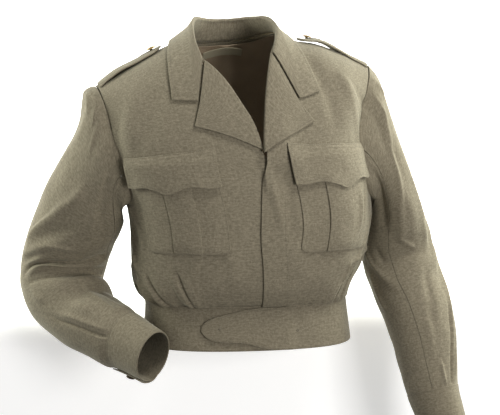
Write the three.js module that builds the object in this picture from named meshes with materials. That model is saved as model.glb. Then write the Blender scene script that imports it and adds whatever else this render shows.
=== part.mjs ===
import * as THREE from "three";

// Short wool jacket, filled out as worn. Millimetres; +Z up, the front faces -Y, +X is the wearer's left.

// Cloth
const SHELL = 1.8;
const DOUBLE = 2.2;
const LINING = 1.0;
const SEAM_GAP = 0.5;
const SEAT_GAP = 0.4;
const MM_PER_DEGREE = 3;
const LINING_LIFT = -4;

// Body form: half widths and depths at each height above the hem
const BODY = [
  { height: 0, right: 172, left: 164, front: 114, back: 108 },
  { height: 72, right: 167, left: 155, front: 109, back: 104 },
  { height: 86, right: 180, left: 155, front: 120, back: 114 },
  { height: 106, right: 187, left: 164, front: 130, back: 123 },
  { height: 140, right: 189, left: 180, front: 137, back: 130 },
  { height: 190, right: 190, left: 190, front: 141, back: 133 },
  { height: 250, right: 194, left: 197, front: 141, back: 132 },
  { height: 300, right: 200, left: 199, front: 138, back: 130 },
];
const BOXY = 0.16;
const SHOULDER_START = 300;
const SHOULDER_END = 450;
const SHOULDER_WIDEN = 42;
const SHOULDER_Y = 8;
const RIDGE_TOP = 524;
const RIDGE_SLOPE = { right: 0.54, left: 0.51 };
const RIDGE_ROUND = 40;
const HOLLOW = { right: 4, left: 14 };
const HOLLOW_AT = 85;
const HOLLOW_REACH = 38;

// How the filled jacket leans above the waist
const LEAN = 24;
const ROLL = 12;
const ROLL_REACH = 220;
const LEAN_FROM = 190;
const LEAN_TO = 345;

// Level is height below the shoulder start and an arc share above it, up to the shoulder seam
const HEM = 8;
const WAIST = 78;
const UNDERARM = 228;
const ARMHOLE = [
  { level: 228, front: 197, back: 197 },
  { level: 240, front: 190, back: 192 },
  { level: 275, front: 187, back: 188 },
  { level: 318, front: 189, back: 190 },
  { level: 364, front: 203, back: 203 },
  { level: 400, front: 211, back: 211 },
  { level: 450, front: 218, back: 218 },
];
const LAP_LIFT = 3.2;
const LAP_CROSS = 5.2;
const UNDERLAP = [
  { level: 79, side: -10.5 },
  { level: 200, side: -10.5 },
  { level: 278, side: -10 },
  { level: 296, side: -8.2 },
];
const FLY_EDGE = [
  { level: 79, side: 0.2 },
  { level: 140, side: -0.6 },
  { level: 200, side: -1.6 },
  { level: 270, side: 2 },
];
const FRONT_LEVELS = [
  79, 84, 92, 102, 114, 128, 145, 165, 190, 214, 228, 246, 270, 296, 312, 330, 350, 374, 400, 426, 450,
];
const BACK_LEVELS = [
  79, 84, 93, 104, 118, 134, 156, 190, 228, 250, 280, 305, 325, 345, 366, 388, 408, 425, 438, 450,
];
const FRONT_SIDES_RIGHT = [
  -10.5, -4, 3, 10, 17, 23, 28, 31, 33.5, 36, 40, 44, 48, 52, 54.5, 59, 63.5, 67, 69.5, 75, 82, 90,
];
const FRONT_SIDES_LEFT = [
  0, 7, 13, 18, 24, 30, 34.5, 38.5, 42, 44.5, 48, 51.5, 55, 57.5, 62, 66.5, 70, 72.5, 78, 84, 90,
];
const BACK_SIDES = [
  -90, -80, -70, -62, -58, -50, -42, -34, -27, -23, -18, -17.5, -14, -8,
  0, 8, 14, 17.5, 18, 24, 28, 36, 44, 51, 57, 62, 70, 80, 90,
];
const LINING_SIDES = [-86, -70, -50, -34, -23, -18, -17.5, -8, 0, 8, 17.5, 18, 24, 36, 51, 70, 86];
const LINING_LEVELS = [84, 118, 156, 190, 228, 280, 305, 325, 345, 366, 388, 408, 425, 438, 450];
const SIDE_SEAM = 90 - 0.08;
const NECK_FROM = 345;
const BACK_NECK = [
  { side: 0, run: 511 }, { side: 6, run: 508 }, { side: 12, run: 498 }, { side: 16, run: 480 },
  { side: 17.5, run: 464 }, { side: 18, run: 450 },
];

// Pleats let into the waistband: where the crease meets the waist and where it dies out
const PLEATS_RIGHT = [
  { waist: -33.5, top: -40, level: 134, width: 8, depth: 5.5 },
  { waist: -52, top: -62, level: 128, width: 8, depth: 6 },
  { waist: -67, top: -79, level: 122, width: 8, depth: 5 },
];
const PLEATS_LEFT = [
  { waist: 42, top: 49, level: 136, width: 8, depth: 6.5 },
  { waist: 55, top: 65, level: 134, width: 8, depth: 6 },
  { waist: 70, top: 78, level: 118, width: 7, depth: 4 },
];
const PLEATS_BACK = [
  { waist: -58, top: -66, level: 130, width: 9, depth: 5 },
  { waist: -24, top: -27, level: 122, width: 9, depth: 4 },
  { waist: 25, top: 29, level: 126, width: 9, depth: 4.5 },
  { waist: 57, top: 64, level: 132, width: 9, depth: 5 },
];
// Broad drags in the cloth, as raised bands between two places on the body
const DRAGS = [
  { side: 42, run: 400, toSide: 50, toRun: 325, width: 7, height: 4 },
  { side: -56, run: 350, toSide: -50, toRun: 325, width: 7, height: 3 },
  { side: -74, run: 250, toSide: -84, toRun: 190, width: 7, height: 4 },
  { side: 76, run: 250, toSide: 84, toRun: 200, width: 7, height: 4 },
  { side: -70, run: 560, toSide: -50, toRun: 640, width: 6, height: 5 },
  { side: 70, run: 560, toSide: 50, toRun: 640, width: 6, height: 5 },
  { side: -10, run: 700, toSide: 12, toRun: 790, width: 6, height: 4 },
];
const DRAG_BEYOND = 0.3;
const DRAG_FADE = 0.5;

// Waistband tab: lower and upper edge at each angle past the centre front
const TAB = [
  { angle: -30, low: 8, high: 78 }, { angle: -7, low: 9, high: 78 }, { angle: 1.5, low: 14, high: 77.5 },
  { angle: 6.7, low: 19.5, high: 75 }, { angle: 10.7, low: 21, high: 71 }, { angle: 18.4, low: 22.5, high: 65 },
  { angle: 23.5, low: 25, high: 60 }, { angle: 27, low: 31, high: 54.5 }, { angle: 29.2, low: 38.5, high: 47 },
];

// Lapels and collar: places on the body as side angle and run over the shoulder
const LAPEL_RIGHT = {
  roll: [{ at: 0, side: 5, run: 309 }, { at: 0.2, side: 1.6, run: 326 }, { at: 0.45, side: -3.2, run: 342 },
    { at: 0.75, side: -8.8, run: 364 }, { at: 1, side: -13.1, run: 382 }],
  point: { side: -20.2, run: 331 }, notch: { side: -17.1, run: 348.4 },
};
const LAPEL_LEFT = {
  roll: [{ at: 0, side: 5.4, run: 308 }, { at: 0.3, side: 6.6, run: 332 }, { at: 0.65, side: 8.1, run: 357 },
    { at: 1, side: 9.8, run: 382.5 }],
  point: { side: 27, run: 331.5 }, notch: { side: 19.4, run: 348.2 },
};
const NECK_LEFT = 0.8;
const COLLAR_RIGHT = {
  seam: [{ at: 0, side: -12.9, run: 383.2 }, { at: 0.12, side: -14.7, run: 405 }, { at: 0.24, side: -16.7, run: 430 },
    { at: 0.36, side: -17.2, run: 450 }, { at: 0.5, side: -16.6, run: 463 }, { at: 0.64, side: -15, run: 478 },
    { at: 0.78, side: -11.2, run: 495.6 }, { at: 0.9, side: -5.7, run: 506 }, { at: 1, side: 0, run: 509.4 }],
  fold: [{ at: 0, side: -13.3, run: 384, lift: 4.6 }, { at: 0.12, side: -13.8, run: 408, lift: 9 },
    { at: 0.24, side: -12.8, run: 432, lift: 14 }, { at: 0.36, side: -11.3, run: 451, lift: 18 },
    { at: 0.5, side: -10, run: 463, lift: 19 }, { at: 0.64, side: -8.5, run: 474, lift: 19 },
    { at: 0.78, side: -6.2, run: 484, lift: 19 }, { at: 0.9, side: -3.1, run: 490, lift: 18.5 },
    { at: 1, side: 0, run: 492, lift: 18.5 }],
  edge: [{ at: 0, side: -27.6, run: 357.5, lift: 4.6 }, { at: 0.12, side: -26.2, run: 385, lift: 5.2 },
    { at: 0.24, side: -23.8, run: 418, lift: 6 }, { at: 0.36, side: -21.2, run: 450, lift: 6.5 },
    { at: 0.5, side: -19.6, run: 474, lift: 6.5 }, { at: 0.64, side: -16.8, run: 496, lift: 6.5 },
    { at: 0.78, side: -12, run: 512, lift: 6.5 }, { at: 0.9, side: -5.5, run: 520, lift: 6.5 },
    { at: 1, side: 0, run: 522, lift: 6.5 }],
  gorge: [{ at: 0, side: -13.8, run: 384 }, { at: 0.62, side: -17.7, run: 350 }, { at: 1, side: -27.6, run: 357.5 }],
};
const COLLAR_LEFT = {
  seam: COLLAR_RIGHT.seam.map((row) => ({ ...row, side: row.at ? -row.side * NECK_LEFT : 9.5 })),
  fold: COLLAR_RIGHT.fold.map((row) => ({ ...row, side: row.at ? -row.side * (row.at < 0.2 ? 0.85 : 0.92) : 10.1,
    lift: row.lift * (row.at > 0.1 && row.at < 0.7 ? 0.8 : row.at < 0.9 && row.at > 0.7 ? 0.95 : 1) })),
  edge: [{ at: 0, side: 29.6, run: 359.5, lift: 4.6 }, { at: 0.12, side: 24.5, run: 386, lift: 5.2 },
    ...COLLAR_RIGHT.edge.slice(2).map((row) => ({ ...row, side: -row.side * (row.at < 0.3 ? 0.83 : 0.75) }))],
  gorge: [{ at: 0, side: 10.5, run: 384.4 }, { at: 0.62, side: 20, run: 350 }, { at: 1, side: 29.6, run: 359.5 }],
};
const EDGE_INSET = 0.6;
const FRONT_EDGE_RIGHT = [...UNDERLAP,
  ...LAPEL_RIGHT.roll.map((row) => ({ level: row.run, side: EDGE_INSET - row.side })),
  { level: 405, side: 15.5 }, { level: 430, side: 17.6 }, { level: 450, side: 18.1 }];
const FRONT_EDGE_LEFT = [...FLY_EDGE,
  ...LAPEL_LEFT.roll.map((row) => ({ level: row.run, side: EDGE_INSET + row.side })),
  { level: 405, side: 12.4 }, { level: 430, side: 14.1 }, { level: 450, side: 14.5 }];
const ROLL_RADIUS = 3.5;
const LAPEL_LIFT = 4.8;

// Patch pockets
const POCKET_OUTLINE = [
  { level: 163, share: 0.8 }, { level: 165.5, share: 0.92 }, { level: 171, share: 1 }, { level: 190, share: 1 },
  { level: 215, share: 1 }, { level: 240, share: 1 }, { level: 265, share: 1 }, { level: 285, share: 1 },
  { level: 299, share: 0.99 },
];
const POCKETS = {
  right: { centre: -37, half: 23.2, pleat: -32.8, pleatHalf: 7.2, flapCentre: -32.5, sway: 2 },
  left: { centre: 38.6, half: 23.6, pleat: 35, pleatHalf: 7.4, flapCentre: 36.5, sway: 1.5 },
};
const POCKET_COLUMNS = [-1, -0.94, -0.7, -0.45, -0.2, 0.05, 0.3, 0.55, 0.78, 0.94, 1];
const POCKET_PLEAT_LEVELS = [164.5, 172, 190, 215, 240, 265, 285, 296];
const POCKET_BULGE = 2.2;
const SWAY_INNER = 0.4;
const SWAY_PLEAT = 0.6;
// Clearances to the cloth below: of the bag, its pleat and the flap over both
const POCKET_SEAT = 0.5;
const PLEAT_SEAT = 1.3;
const FLAP_SEAT = 2.2;
const FLAP_TOP = 312;
const FLAP_SLOPE = 1.5;
const FLAP_BEYOND = 0.8;
const FLAP_LIP = 1.4;
const FLAP_EDGE = [
  { at: -1, level: 267 }, { at: -0.82, level: 266 }, { at: -0.5, level: 269 }, { at: -0.18, level: 262.5 },
  { at: 0, level: 257.5 },
  { at: 0.18, level: 262.5 }, { at: 0.5, level: 269 }, { at: 0.82, level: 266.5 }, { at: 1, level: 268 },
];

// Shoulder straps
const STRAP_HALF = 23;
const STRAP_START = 214.5;
const STRAP_TIP = { right: 114, left: 101 };
const STRAP = [
  { at: 0, share: 1 }, { at: 0.35, share: 0.99 }, { at: 0.7, share: 0.93 }, { at: 0.88, share: 0.86 },
  { at: 0.95, share: 0.6 }, { at: 1, share: 0.16 },
];
const STRAP_RISE = {
  right: [{ at: 0, lift: 2.6 }, { at: 0.3, lift: 6.5 }, { at: 0.6, lift: 4.5 }, { at: 0.85, lift: 4 },
    { at: 1, lift: 5 }],
  left: [{ at: 0, lift: 2.6 }, { at: 0.3, lift: 3.4 }, { at: 0.58, lift: 7.5 }, { at: 0.72, lift: 7.5 },
    { at: 0.86, lift: 5 }, { at: 1, lift: 4.5 }],
};
const STRAP_BUTTON = [
  { radius: 2.2, height: 0.7 },
  { radius: 2.2, height: 2 },
  { radius: 7.4, height: 2.2 },
  { radius: 8, height: 3 },
  { radius: 7.2, height: 4.4 },
  { radius: 3.8, height: 5.4 },
];
const BUTTON_AT = 0.86;

// Sleeve rings: centre, half size across (outwards) and half size through (forwards)
const SLEEVE_RIGHT = {
  out: [-0.825, -0.556, 0.111],
  rings: [
    { x: -264, y: 34, z: 214, across: 67, through: 71, turn: -34 },
    { x: -277, y: 52, z: 172, across: 69, through: 67, turn: -26, shift: -3 },
    { x: -283, y: 60, z: 128, across: 70, through: 67, turn: -12, shift: -13 },
    { x: -283, y: 53, z: 103, across: 69, through: 68, turn: -6, shift: -17 },
    { x: -281, y: 42, z: 81, across: 66, through: 65, turn: -2, shift: -13 },
    { x: -262, y: 10, z: 48.5, across: 57, through: 53.5, turn: 0, shift: -3 },
    { x: -240, y: -20, z: 36, across: 52, through: 50, turn: 0 },
    { x: -217, y: -49, z: 25, across: 43, through: 50, turn: 0 },
    { x: -207, y: -61, z: 22, across: 38, through: 46, turn: 0 },
    { x: -188, y: -88, z: 14.5, across: 34, through: 43, turn: 0 },
    { x: -169, y: -116, z: 6, across: 31, through: 41, turn: 0 },
  ],
  headReach: 0.35,
  headArrive: 0.5,
  leaveTop: [-1, 0, -0.2],
  leaveLow: [-0.85, 0, -0.5],
  frontSeam: [140, 128],
  backSeam: 262,
  slit: 88,
};
const SLEEVE_LEFT = {
  out: [0.985, 0.1, 0.13],
  rings: [
    { x: 240, y: 16, z: 206, across: 47, through: 74, turn: 0 },
    { x: 246.5, y: 22, z: 168, across: 55.5, through: 67, turn: 0 },
    { x: 253, y: 22, z: 130, across: 59, through: 63, turn: 0 },
    { x: 262.5, y: 10, z: 88, across: 56.5, through: 59, turn: 0 },
    { x: 275, y: -8, z: 48, across: 55, through: 57, turn: 0 },
    { x: 284, y: -24, z: 5, across: 52, through: 54, turn: 0 },
    { x: 289, y: -38, z: -40, across: 47, through: 50, turn: 0 },
    { x: 294, y: -48.7, z: -80, across: 41.5, through: 47, turn: 0 },
    { x: 302, y: -60, z: -113, across: 38, through: 45.5, turn: 0 },
    { x: 310, y: -71, z: -147, across: 37, through: 45, turn: 0 },
  ],
  headReach: 0.6,
  headArrive: 0.5,
  leaveTop: [0.52, 0, -0.85],
  leaveLow: [0.9, 0, -0.45],
  frontSeam: [128, 112],
  backSeam: 258,
  slit: 105,
};
for (const spec of [SLEEVE_RIGHT, SLEEVE_LEFT]) {
  spec.rings.forEach((row, i) => {
    const before = spec.rings[i - 1];
    row.shift ??= 0;
    row.at = before ? before.at + Math.hypot(row.x - before.x, row.y - before.y, row.z - before.z) : 0;
  });
  spec.cuffAt = spec.rings[spec.rings.length - 3].at;
}
// Creases of the sleeves: distance down, place round, reach both ways, slant and height
const CREASES_RIGHT = [
  { at: 118, round: 95, span: 16, reach: 70, slant: 0.08, height: -10 },
  { at: 88, round: 80, span: 20, reach: 60, slant: -0.25, height: 5 },
  { at: 158, round: 90, span: 20, reach: 55, slant: 0.25, height: 7 },
  { at: 44, round: 50, span: 22, reach: 60, slant: -0.4, height: 4 },
  { at: 222, round: 40, span: 22, reach: 50, slant: 0.4, height: 3 },
  { at: 96, round: 280, span: 24, reach: 50, slant: 0.3, height: 4 },
];
const CREASES_LEFT = [
  { at: 78, round: 110, span: 22, reach: 60, slant: 0.4, height: -4 },
  { at: 118, round: 90, span: 22, reach: 60, slant: 0.45, height: 4 },
  { at: 160, round: 20, span: 40, reach: 24, slant: 0, height: 4 },
  { at: 60, round: 280, span: 24, reach: 60, slant: -0.4, height: 4 },
  { at: 230, round: 300, span: 22, reach: 40, slant: 0.4, height: 3 },
];
// How far the top of each sleeve head stands out of or falls within a plain curve, by share of its length
const HEAD_SWELL = {
  right: [{ at: 0, out: 0 }, { at: 0.12, out: 6 }, { at: 0.21, out: 1 }, { at: 0.3, out: -6 }, { at: 0.4, out: -13 },
    { at: 0.5, out: -14.5 }, { at: 0.6, out: -10.5 }, { at: 0.7, out: -6 }, { at: 0.84, out: -1.5 }, { at: 1, out: 0 }],
  left: [{ at: 0, out: 0 }, { at: 0.12, out: 6 }, { at: 0.22, out: 5 }, { at: 0.35, out: 2 }, { at: 0.5, out: 0 }],
};
const CUFF_LAP = 34;
const CUFF_BUTTON = [
  { radius: 6, height: 0 },
  { radius: 7, height: 0.8 },
  { radius: 7, height: 1.8 },
  { radius: 5, height: 2.6 },
];
// How far each button stands off its cuff: the bent sleeve draws its cuff flatter
const BUTTON_SEAT = { right: 0.75, left: 0.65 };

// The holding place between the shoulders, in the numbers above
const HOLD = { x: -22, y: 8, z: 470 };

const rad = (degrees) => degrees * Math.PI / 180;
const mix = (a, b, t) => a + (b - a) * t;
const clamp = (t) => Math.min(1, Math.max(0, t));
const smooth = (t) => { const c = clamp(t); return c * c * (3 - 2 * c); };
const steps = (count) => Array.from({ length: count + 1 }, (_, i) => i / count);

// Reads a column of a table at a place, as a smooth curve through its rows
function along(rows, key, column, at) {
  const last = rows.length - 1;
  if (at <= rows[0][key]) return rows[0][column];
  if (at >= rows[last][key]) return rows[last][column];
  let i = 0;
  while (rows[i + 1][key] < at) i++;
  const slope = (a, b) => (rows[b][column] - rows[a][column]) / (rows[b][key] - rows[a][key]);
  const m0 = slope(Math.max(i - 1, 0), i + 1);
  const m1 = slope(i, Math.min(i + 2, last));
  const gap = rows[i + 1][key] - rows[i][key];
  const t = (at - rows[i][key]) / gap;
  return (1 + 2 * t) * (1 - t) ** 2 * rows[i][column] + t * (1 - t) ** 2 * gap * m0
    + t * t * (3 - 2 * t) * rows[i + 1][column] + t * t * (t - 1) * gap * m1;
}

// Height of the shoulder seam: it falls outwards and is hollowed beside the neck
function ridge(x) {
  const which = x > 0 ? "left" : "right";
  const hollow = HOLLOW[which] * Math.exp(-(((Math.abs(x) - HOLLOW_AT) / HOLLOW_REACH) ** 2));
  return RIDGE_TOP - RIDGE_SLOPE[which] * (Math.hypot(x, RIDGE_ROUND) - RIDGE_ROUND) - hollow;
}

const levelOf = (run) => (run > SHOULDER_END ? 2 * SHOULDER_END - run : run);
const rise = (level) => Math.max(0, (level - SHOULDER_START) / (SHOULDER_END - SHOULDER_START)) * Math.PI / 2;

function halfWidth(level, left) {
  return along(BODY, "height", left ? "left" : "right", Math.min(level, SHOULDER_START))
    + SHOULDER_WIDEN * Math.sin(rise(level)) ** 2;
}

// Side angle at which the body reaches a given distance from the middle
function sideAt(x, level) {
  const share = Math.min(1, Math.abs(x) / halfWidth(level, x > 0));
  let sine = share;
  for (let i = 0; i < 12; i++) sine = Math.min(1, share / (1 + BOXY * (1 - sine * sine)));
  return Math.sign(x) * Math.asin(sine) * 180 / Math.PI;
}

// Plain body: side is the angle from the middle, run goes up the front, over the shoulder and down the back
function body(side, run) {
  const level = levelOf(run);
  const back = run > SHOULDER_END;
  const low = Math.min(level, SHOULDER_START);
  const phi = rise(level);
  const s = Math.sin(rad(side));
  const c = Math.cos(rad(side));
  const half = halfWidth(level, side > 0);
  const depth = along(BODY, "height", back ? "back" : "front", low) * Math.cos(phi);
  const x = half * s * (1 + BOXY * c * c);
  const y = SHOULDER_Y * Math.sin(phi) + (back ? 1 : -1) * depth * c * (1 + BOXY * s * s);
  const z = low + (phi > 0 ? (ridge(x) - SHOULDER_START) * Math.sin(phi) : 0);
  return new THREE.Vector3(x, y, z);
}

function bodyNormal(side, run) {
  const a = body(side - 0.4, run).sub(body(side + 0.4, run));
  const r0 = run > SHOULDER_END ? Math.max(run - 0.6, SHOULDER_END + 0.01) : run - 0.6;
  const r1 = run > SHOULDER_END ? run + 0.6 : Math.min(run + 0.6, SHOULDER_END - 0.01);
  const b = body(side, r1).sub(body(side, r0));
  return b.cross(a).normalize();
}

// One pleat: the cloth swells up to the crease and drops behind it
function pleatLift(pleat, side, level) {
  const t = clamp((level - WAIST) / (pleat.level - WAIST));
  const crease = mix(pleat.waist, pleat.top, t);
  const outward = Math.sign(pleat.waist) * (side - crease) / pleat.width;
  if (outward < -1.6 || outward > 0.5) return 0;
  const swell = outward < 0 ? smooth(1 + outward / 1.6) : 1 - smooth(outward / 0.5);
  return pleat.depth * swell * (1 - smooth(t)) * smooth((level - WAIST + 12) / 18);
}

// One broad fold between two places: a round ridge that fades out beyond its ends
function dragLift(drag, side, run) {
  const dx = drag.toSide - drag.side;
  const dy = (drag.toRun - drag.run) / MM_PER_DEGREE;
  const length = Math.hypot(dx, dy);
  const px = side - drag.side;
  const py = (run - drag.run) / MM_PER_DEGREE;
  const t = (px * dx + py * dy) / (length * length);
  const off = (px * dy - py * dx) / length / drag.width;
  if (t <= -DRAG_BEYOND || t >= 1 + DRAG_BEYOND || Math.abs(off) >= 3) return 0;
  const ends = smooth((t + DRAG_BEYOND) / DRAG_FADE) * smooth((1 + DRAG_BEYOND - t) / DRAG_FADE);
  return drag.height * Math.exp(-off * off) * ends;
}

function foldLift(side, run) {
  const level = levelOf(run);
  const front = side < 0 ? PLEATS_RIGHT : PLEATS_LEFT;
  const pleats = run > SHOULDER_END ? PLEATS_BACK : front;
  let lift = 0;
  if (level > WAIST) for (const pleat of pleats) lift += pleatLift(pleat, side, level);
  for (const drag of DRAGS) lift += dragLift(drag, side, run);
  return lift;
}

function pose(p) {
  const k = smooth((p.z - LEAN_FROM) / (LEAN_TO - LEAN_FROM));
  return new THREE.Vector3(p.x - LEAN * k, p.y, p.z + ROLL * k * p.x / ROLL_REACH);
}

// A place on the cloth of the body, moved out by lift
function onBody(side, run, lift = 0, folded = 1) {
  const p = body(side, run);
  return pose(p.addScaledVector(bodyNormal(side, run), lift + folded * foldLift(side, run)));
}

// The wearer's left front passes over the right one
function lapLift(side, run) {
  if (run > SHOULDER_END) return 0;
  const cross = LAP_CROSS * Math.exp(-(((run - 308) / 20) ** 2));
  return (LAP_LIFT + cross) * smooth((24 - side) / 12) * smooth((352 - run) / 34);
}

// Turns the triangles of a closed shape outwards where its signed volume is negative
function turnOutwards(points, index) {
  let volume = 0;
  for (let k = 0; k < index.length; k += 3) {
    const [a, b, c] = [points[index[k]], points[index[k + 1]], points[index[k + 2]]];
    volume += a.dot(b.clone().cross(c));
  }
  if (volume >= 0) return;
  for (let k = 0; k < index.length; k += 3) {
    [index[k + 1], index[k + 2]] = [index[k + 2], index[k + 1]];
  }
}

// Mesh geometry whose origin is where the wearer holds the jacket
function geometryFrom(points, index) {
  const positions = points.flatMap((p) => [p.x - HOLD.x, p.y - HOLD.y, p.z - HOLD.z]);
  const geometry = new THREE.BufferGeometry();
  geometry.setAttribute("position", new THREE.Float32BufferAttribute(positions, 3));
  geometry.setIndex(index);
  geometry.computeVertexNormals();
  return geometry;
}

// Closed cloth from two grids of points, its outside and its inside
function slab(outer, inner) {
  const rows = outer.length;
  const cols = outer[0].length;
  const points = [...outer.flat(), ...inner.flat()];
  const index = [];
  const top = (i, j) => i * cols + j;
  const under = (i, j) => rows * cols + i * cols + j;
  const quad = (a, b, c, d) => index.push(a, b, c, a, c, d);
  for (let i = 0; i < rows - 1; i++) {
    for (let j = 0; j < cols - 1; j++) {
      quad(top(i, j), top(i + 1, j), top(i + 1, j + 1), top(i, j + 1));
      quad(under(i, j), under(i, j + 1), under(i + 1, j + 1), under(i + 1, j));
    }
  }
  for (let i = 0; i < rows - 1; i++) {
    quad(top(i, 0), under(i, 0), under(i + 1, 0), top(i + 1, 0));
    quad(top(i, cols - 1), top(i + 1, cols - 1), under(i + 1, cols - 1), under(i, cols - 1));
  }
  for (let j = 0; j < cols - 1; j++) {
    quad(top(0, j), top(0, j + 1), under(0, j + 1), under(0, j));
    quad(top(rows - 1, j), under(rows - 1, j), under(rows - 1, j + 1), top(rows - 1, j + 1));
  }
  turnOutwards(points, index);
  return geometryFrom(points, index);
}

// Cloth lying on the body: place gives side, run and the lift of its outside
function cloth(us, vs, place, thickness) {
  const grid = (offset) => vs.map((v) => us.map((u) => {
    const p = place(u, v);
    return onBody(p.side, p.run, p.lift + offset, p.folded ?? 1);
  }));
  return slab(grid(0), grid(-thickness));
}

// Seam gap at the shoulder, kept even although the seam fans out from the neck
const shoulderGap = (side) => Math.min(3, 150 * 2 / Math.PI * (SEAM_GAP / 2) / (136 * Math.cos(rad(side))));

// Side angle of a panel's outer edge: the side seam below the underarm, the armhole above
function armSide(level, column) {
  if (level <= UNDERARM) return SIDE_SEAM;
  return Math.min(89.9, Math.abs(sideAt(along(ARMHOLE, "level", column, level), level)));
}

function frontPanel(left) {
  const edge = left ? FRONT_EDGE_LEFT : FRONT_EDGE_RIGHT;
  const sides = left ? FRONT_SIDES_LEFT : FRONT_SIDES_RIGHT;
  const us = sides.map((a) => (a - sides[0]) / (90 - sides[0]));
  return cloth(us, FRONT_LEVELS, (u, level) => {
    const centre = along(edge, "level", "side", level);
    const side = mix(centre, armSide(level, "front"), u) * (left ? 1 : -1);
    const run = level >= SHOULDER_END ? SHOULDER_END - shoulderGap(side) : level;
    return { side, run, lift: left ? lapLift(side, level) : 0 };
  }, SHELL);
}

function backPanel(lift, thickness, sides, levels, topInset, folded = 1) {
  return cloth(sides, levels, (base, level) => {
    const near = Math.abs(base) <= 18;
    const edge = armSide(level, "back");
    const neck = base > 0 ? 18 * NECK_LEFT : 18;
    const side = near ? base * neck / 18 : Math.sign(base) * mix(neck, edge, (Math.abs(base) - 18) / (90 - 18));
    const share = Math.max(0, (level - NECK_FROM) / (SHOULDER_END - NECK_FROM));
    const top = near ? 2 * SHOULDER_END - along(BACK_NECK, "side", "run", Math.abs(base)) : SHOULDER_END;
    const reached = Math.min(share ? mix(NECK_FROM, top, share) : level, SHOULDER_END - shoulderGap(side));
    return { side, run: 2 * SHOULDER_END - (reached - topInset * share), lift, folded };
  }, thickness);
}

// Waistband: one strip from under the right front, round the back and over the left front as a tab
function waistband() {
  const start = -10;
  const end = 360 + 29.2;
  const angles = [];
  for (let a = start; a < 330; a += 9) angles.push(a);
  angles.push(332, 338, 343, 348, 353, 357, 361.5, 366.7, 370.7, 376, 380, 383.5, 387, end);
  const place = (round, v) => {
    const turned = ((round + 540) % 360) - 180;
    const back = Math.abs(turned) > 90;
    const side = back ? -Math.sign(turned) * (180 - Math.abs(turned)) : -turned;
    const past = round - 360;
    const low = past > -30 ? along(TAB, "angle", "low", past) : HEM;
    const high = past > -30 ? along(TAB, "angle", "high", past) : WAIST;
    const level = mix(low, high, v);
    const over = past > -30 ? (LAP_LIFT + 0.6) * smooth((past + 19) / 7) : 0;
    return { side, run: back ? 2 * SHOULDER_END - level : level, lift: over + 1, folded: 0 };
  };
  return cloth(angles, [0, 0.08, 0.92, 1], (u, v) => place(u, v), 2.6);
}

// Turned cloth: an optional stand, a round fold and a fall lying on the body
function turned(stations, standSteps, fallSteps, seamAt, foldAt, fallAt, thickness) {
  const outer = [];
  const inner = [];
  for (const t of stations) {
    const fold = foldAt(t);
    const out = onBody(fold.side, fold.run, fold.lift, fold.folded);
    const into = onBody(fold.side, fold.run, fold.lift - 2 * ROLL_RADIUS, fold.folded);
    const next = fallAt(t, 0.15);
    const normal = out.clone().sub(into).normalize();
    const away = out.clone().sub(onBody(next.side, next.run, fold.lift, next.folded));
    away.addScaledVector(normal, -away.dot(normal)).normalize();
    const middle = out.clone().add(into).multiplyScalar(0.5);
    const outRow = [];
    const inRow = [];
    if (standSteps) {
      const seam = seamAt(t);
      const low = onBody(seam.side, seam.run, seam.lift, 0);
      const lowIn = onBody(seam.side, seam.run, seam.lift + thickness, 0);
      for (let k = 0; k < standSteps; k++) {
        outRow.push(low.clone().lerp(into, k / standSteps));
        inRow.push(lowIn.clone().lerp(into.clone().addScaledVector(normal, thickness), k / standSteps));
      }
    }
    for (const bend of steps(5)) {
      const angle = bend * Math.PI;
      const round = (r) => middle.clone()
        .addScaledVector(normal, -r * Math.cos(angle))
        .addScaledVector(away, r * Math.sin(angle));
      outRow.push(round(ROLL_RADIUS));
      inRow.push(round(ROLL_RADIUS - thickness));
    }
    for (const share of fallSteps) {
      const place = fallAt(t, share);
      outRow.push(onBody(place.side, place.run, place.lift, place.folded));
      inRow.push(onBody(place.side, place.run, place.lift - thickness, place.folded));
    }
    outer.push(outRow);
    inner.push(inRow);
  }
  return slab(outer, inner);
}

// Four-sided patch between a start line, an end line and two joining lines
function patch(startLine, endLine, lowLine, highLine, u, v) {
  const across = (key, at) => mix(startLine(at)[key], endLine(at)[key], u);
  const one = (key) => across(key, v) + mix(lowLine(u)[key], highLine(u)[key], v)
    - mix(across(key, 0), across(key, 1), v);
  return { side: one("side"), run: one("run"), lift: one("lift") };
}

// Place read from a line's rows, lifted like a lapel where the rows give no lift
function readLine(rows, t) {
  return {
    side: along(rows, "at", "side", t),
    run: along(rows, "at", "run", t),
    lift: rows[0].lift === undefined ? LAPEL_LIFT : along(rows, "at", "lift", t),
  };
}

function lapel(shape, left) {
  const start = (v) => readLine(shape.roll, v);
  const line = (a, b) => (t) => ({ side: mix(a.side, b.side, t), run: mix(a.run, b.run, t), lift: LAPEL_LIFT });
  const end = line(shape.point, shape.notch);
  const fallAt = (v, u) => {
    const p = patch(start, end, line(start(0), shape.point), line(start(1), shape.notch), u, v);
    return { ...p, lift: p.lift + (left ? lapLift(p.side, p.run) : 0), folded: 1 };
  };
  return turned(steps(7), 0, [0.12, 0.3, 0.5, 0.72, 0.9, 1], null, (v) => fallAt(v, 0), fallAt, DOUBLE);
}

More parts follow.
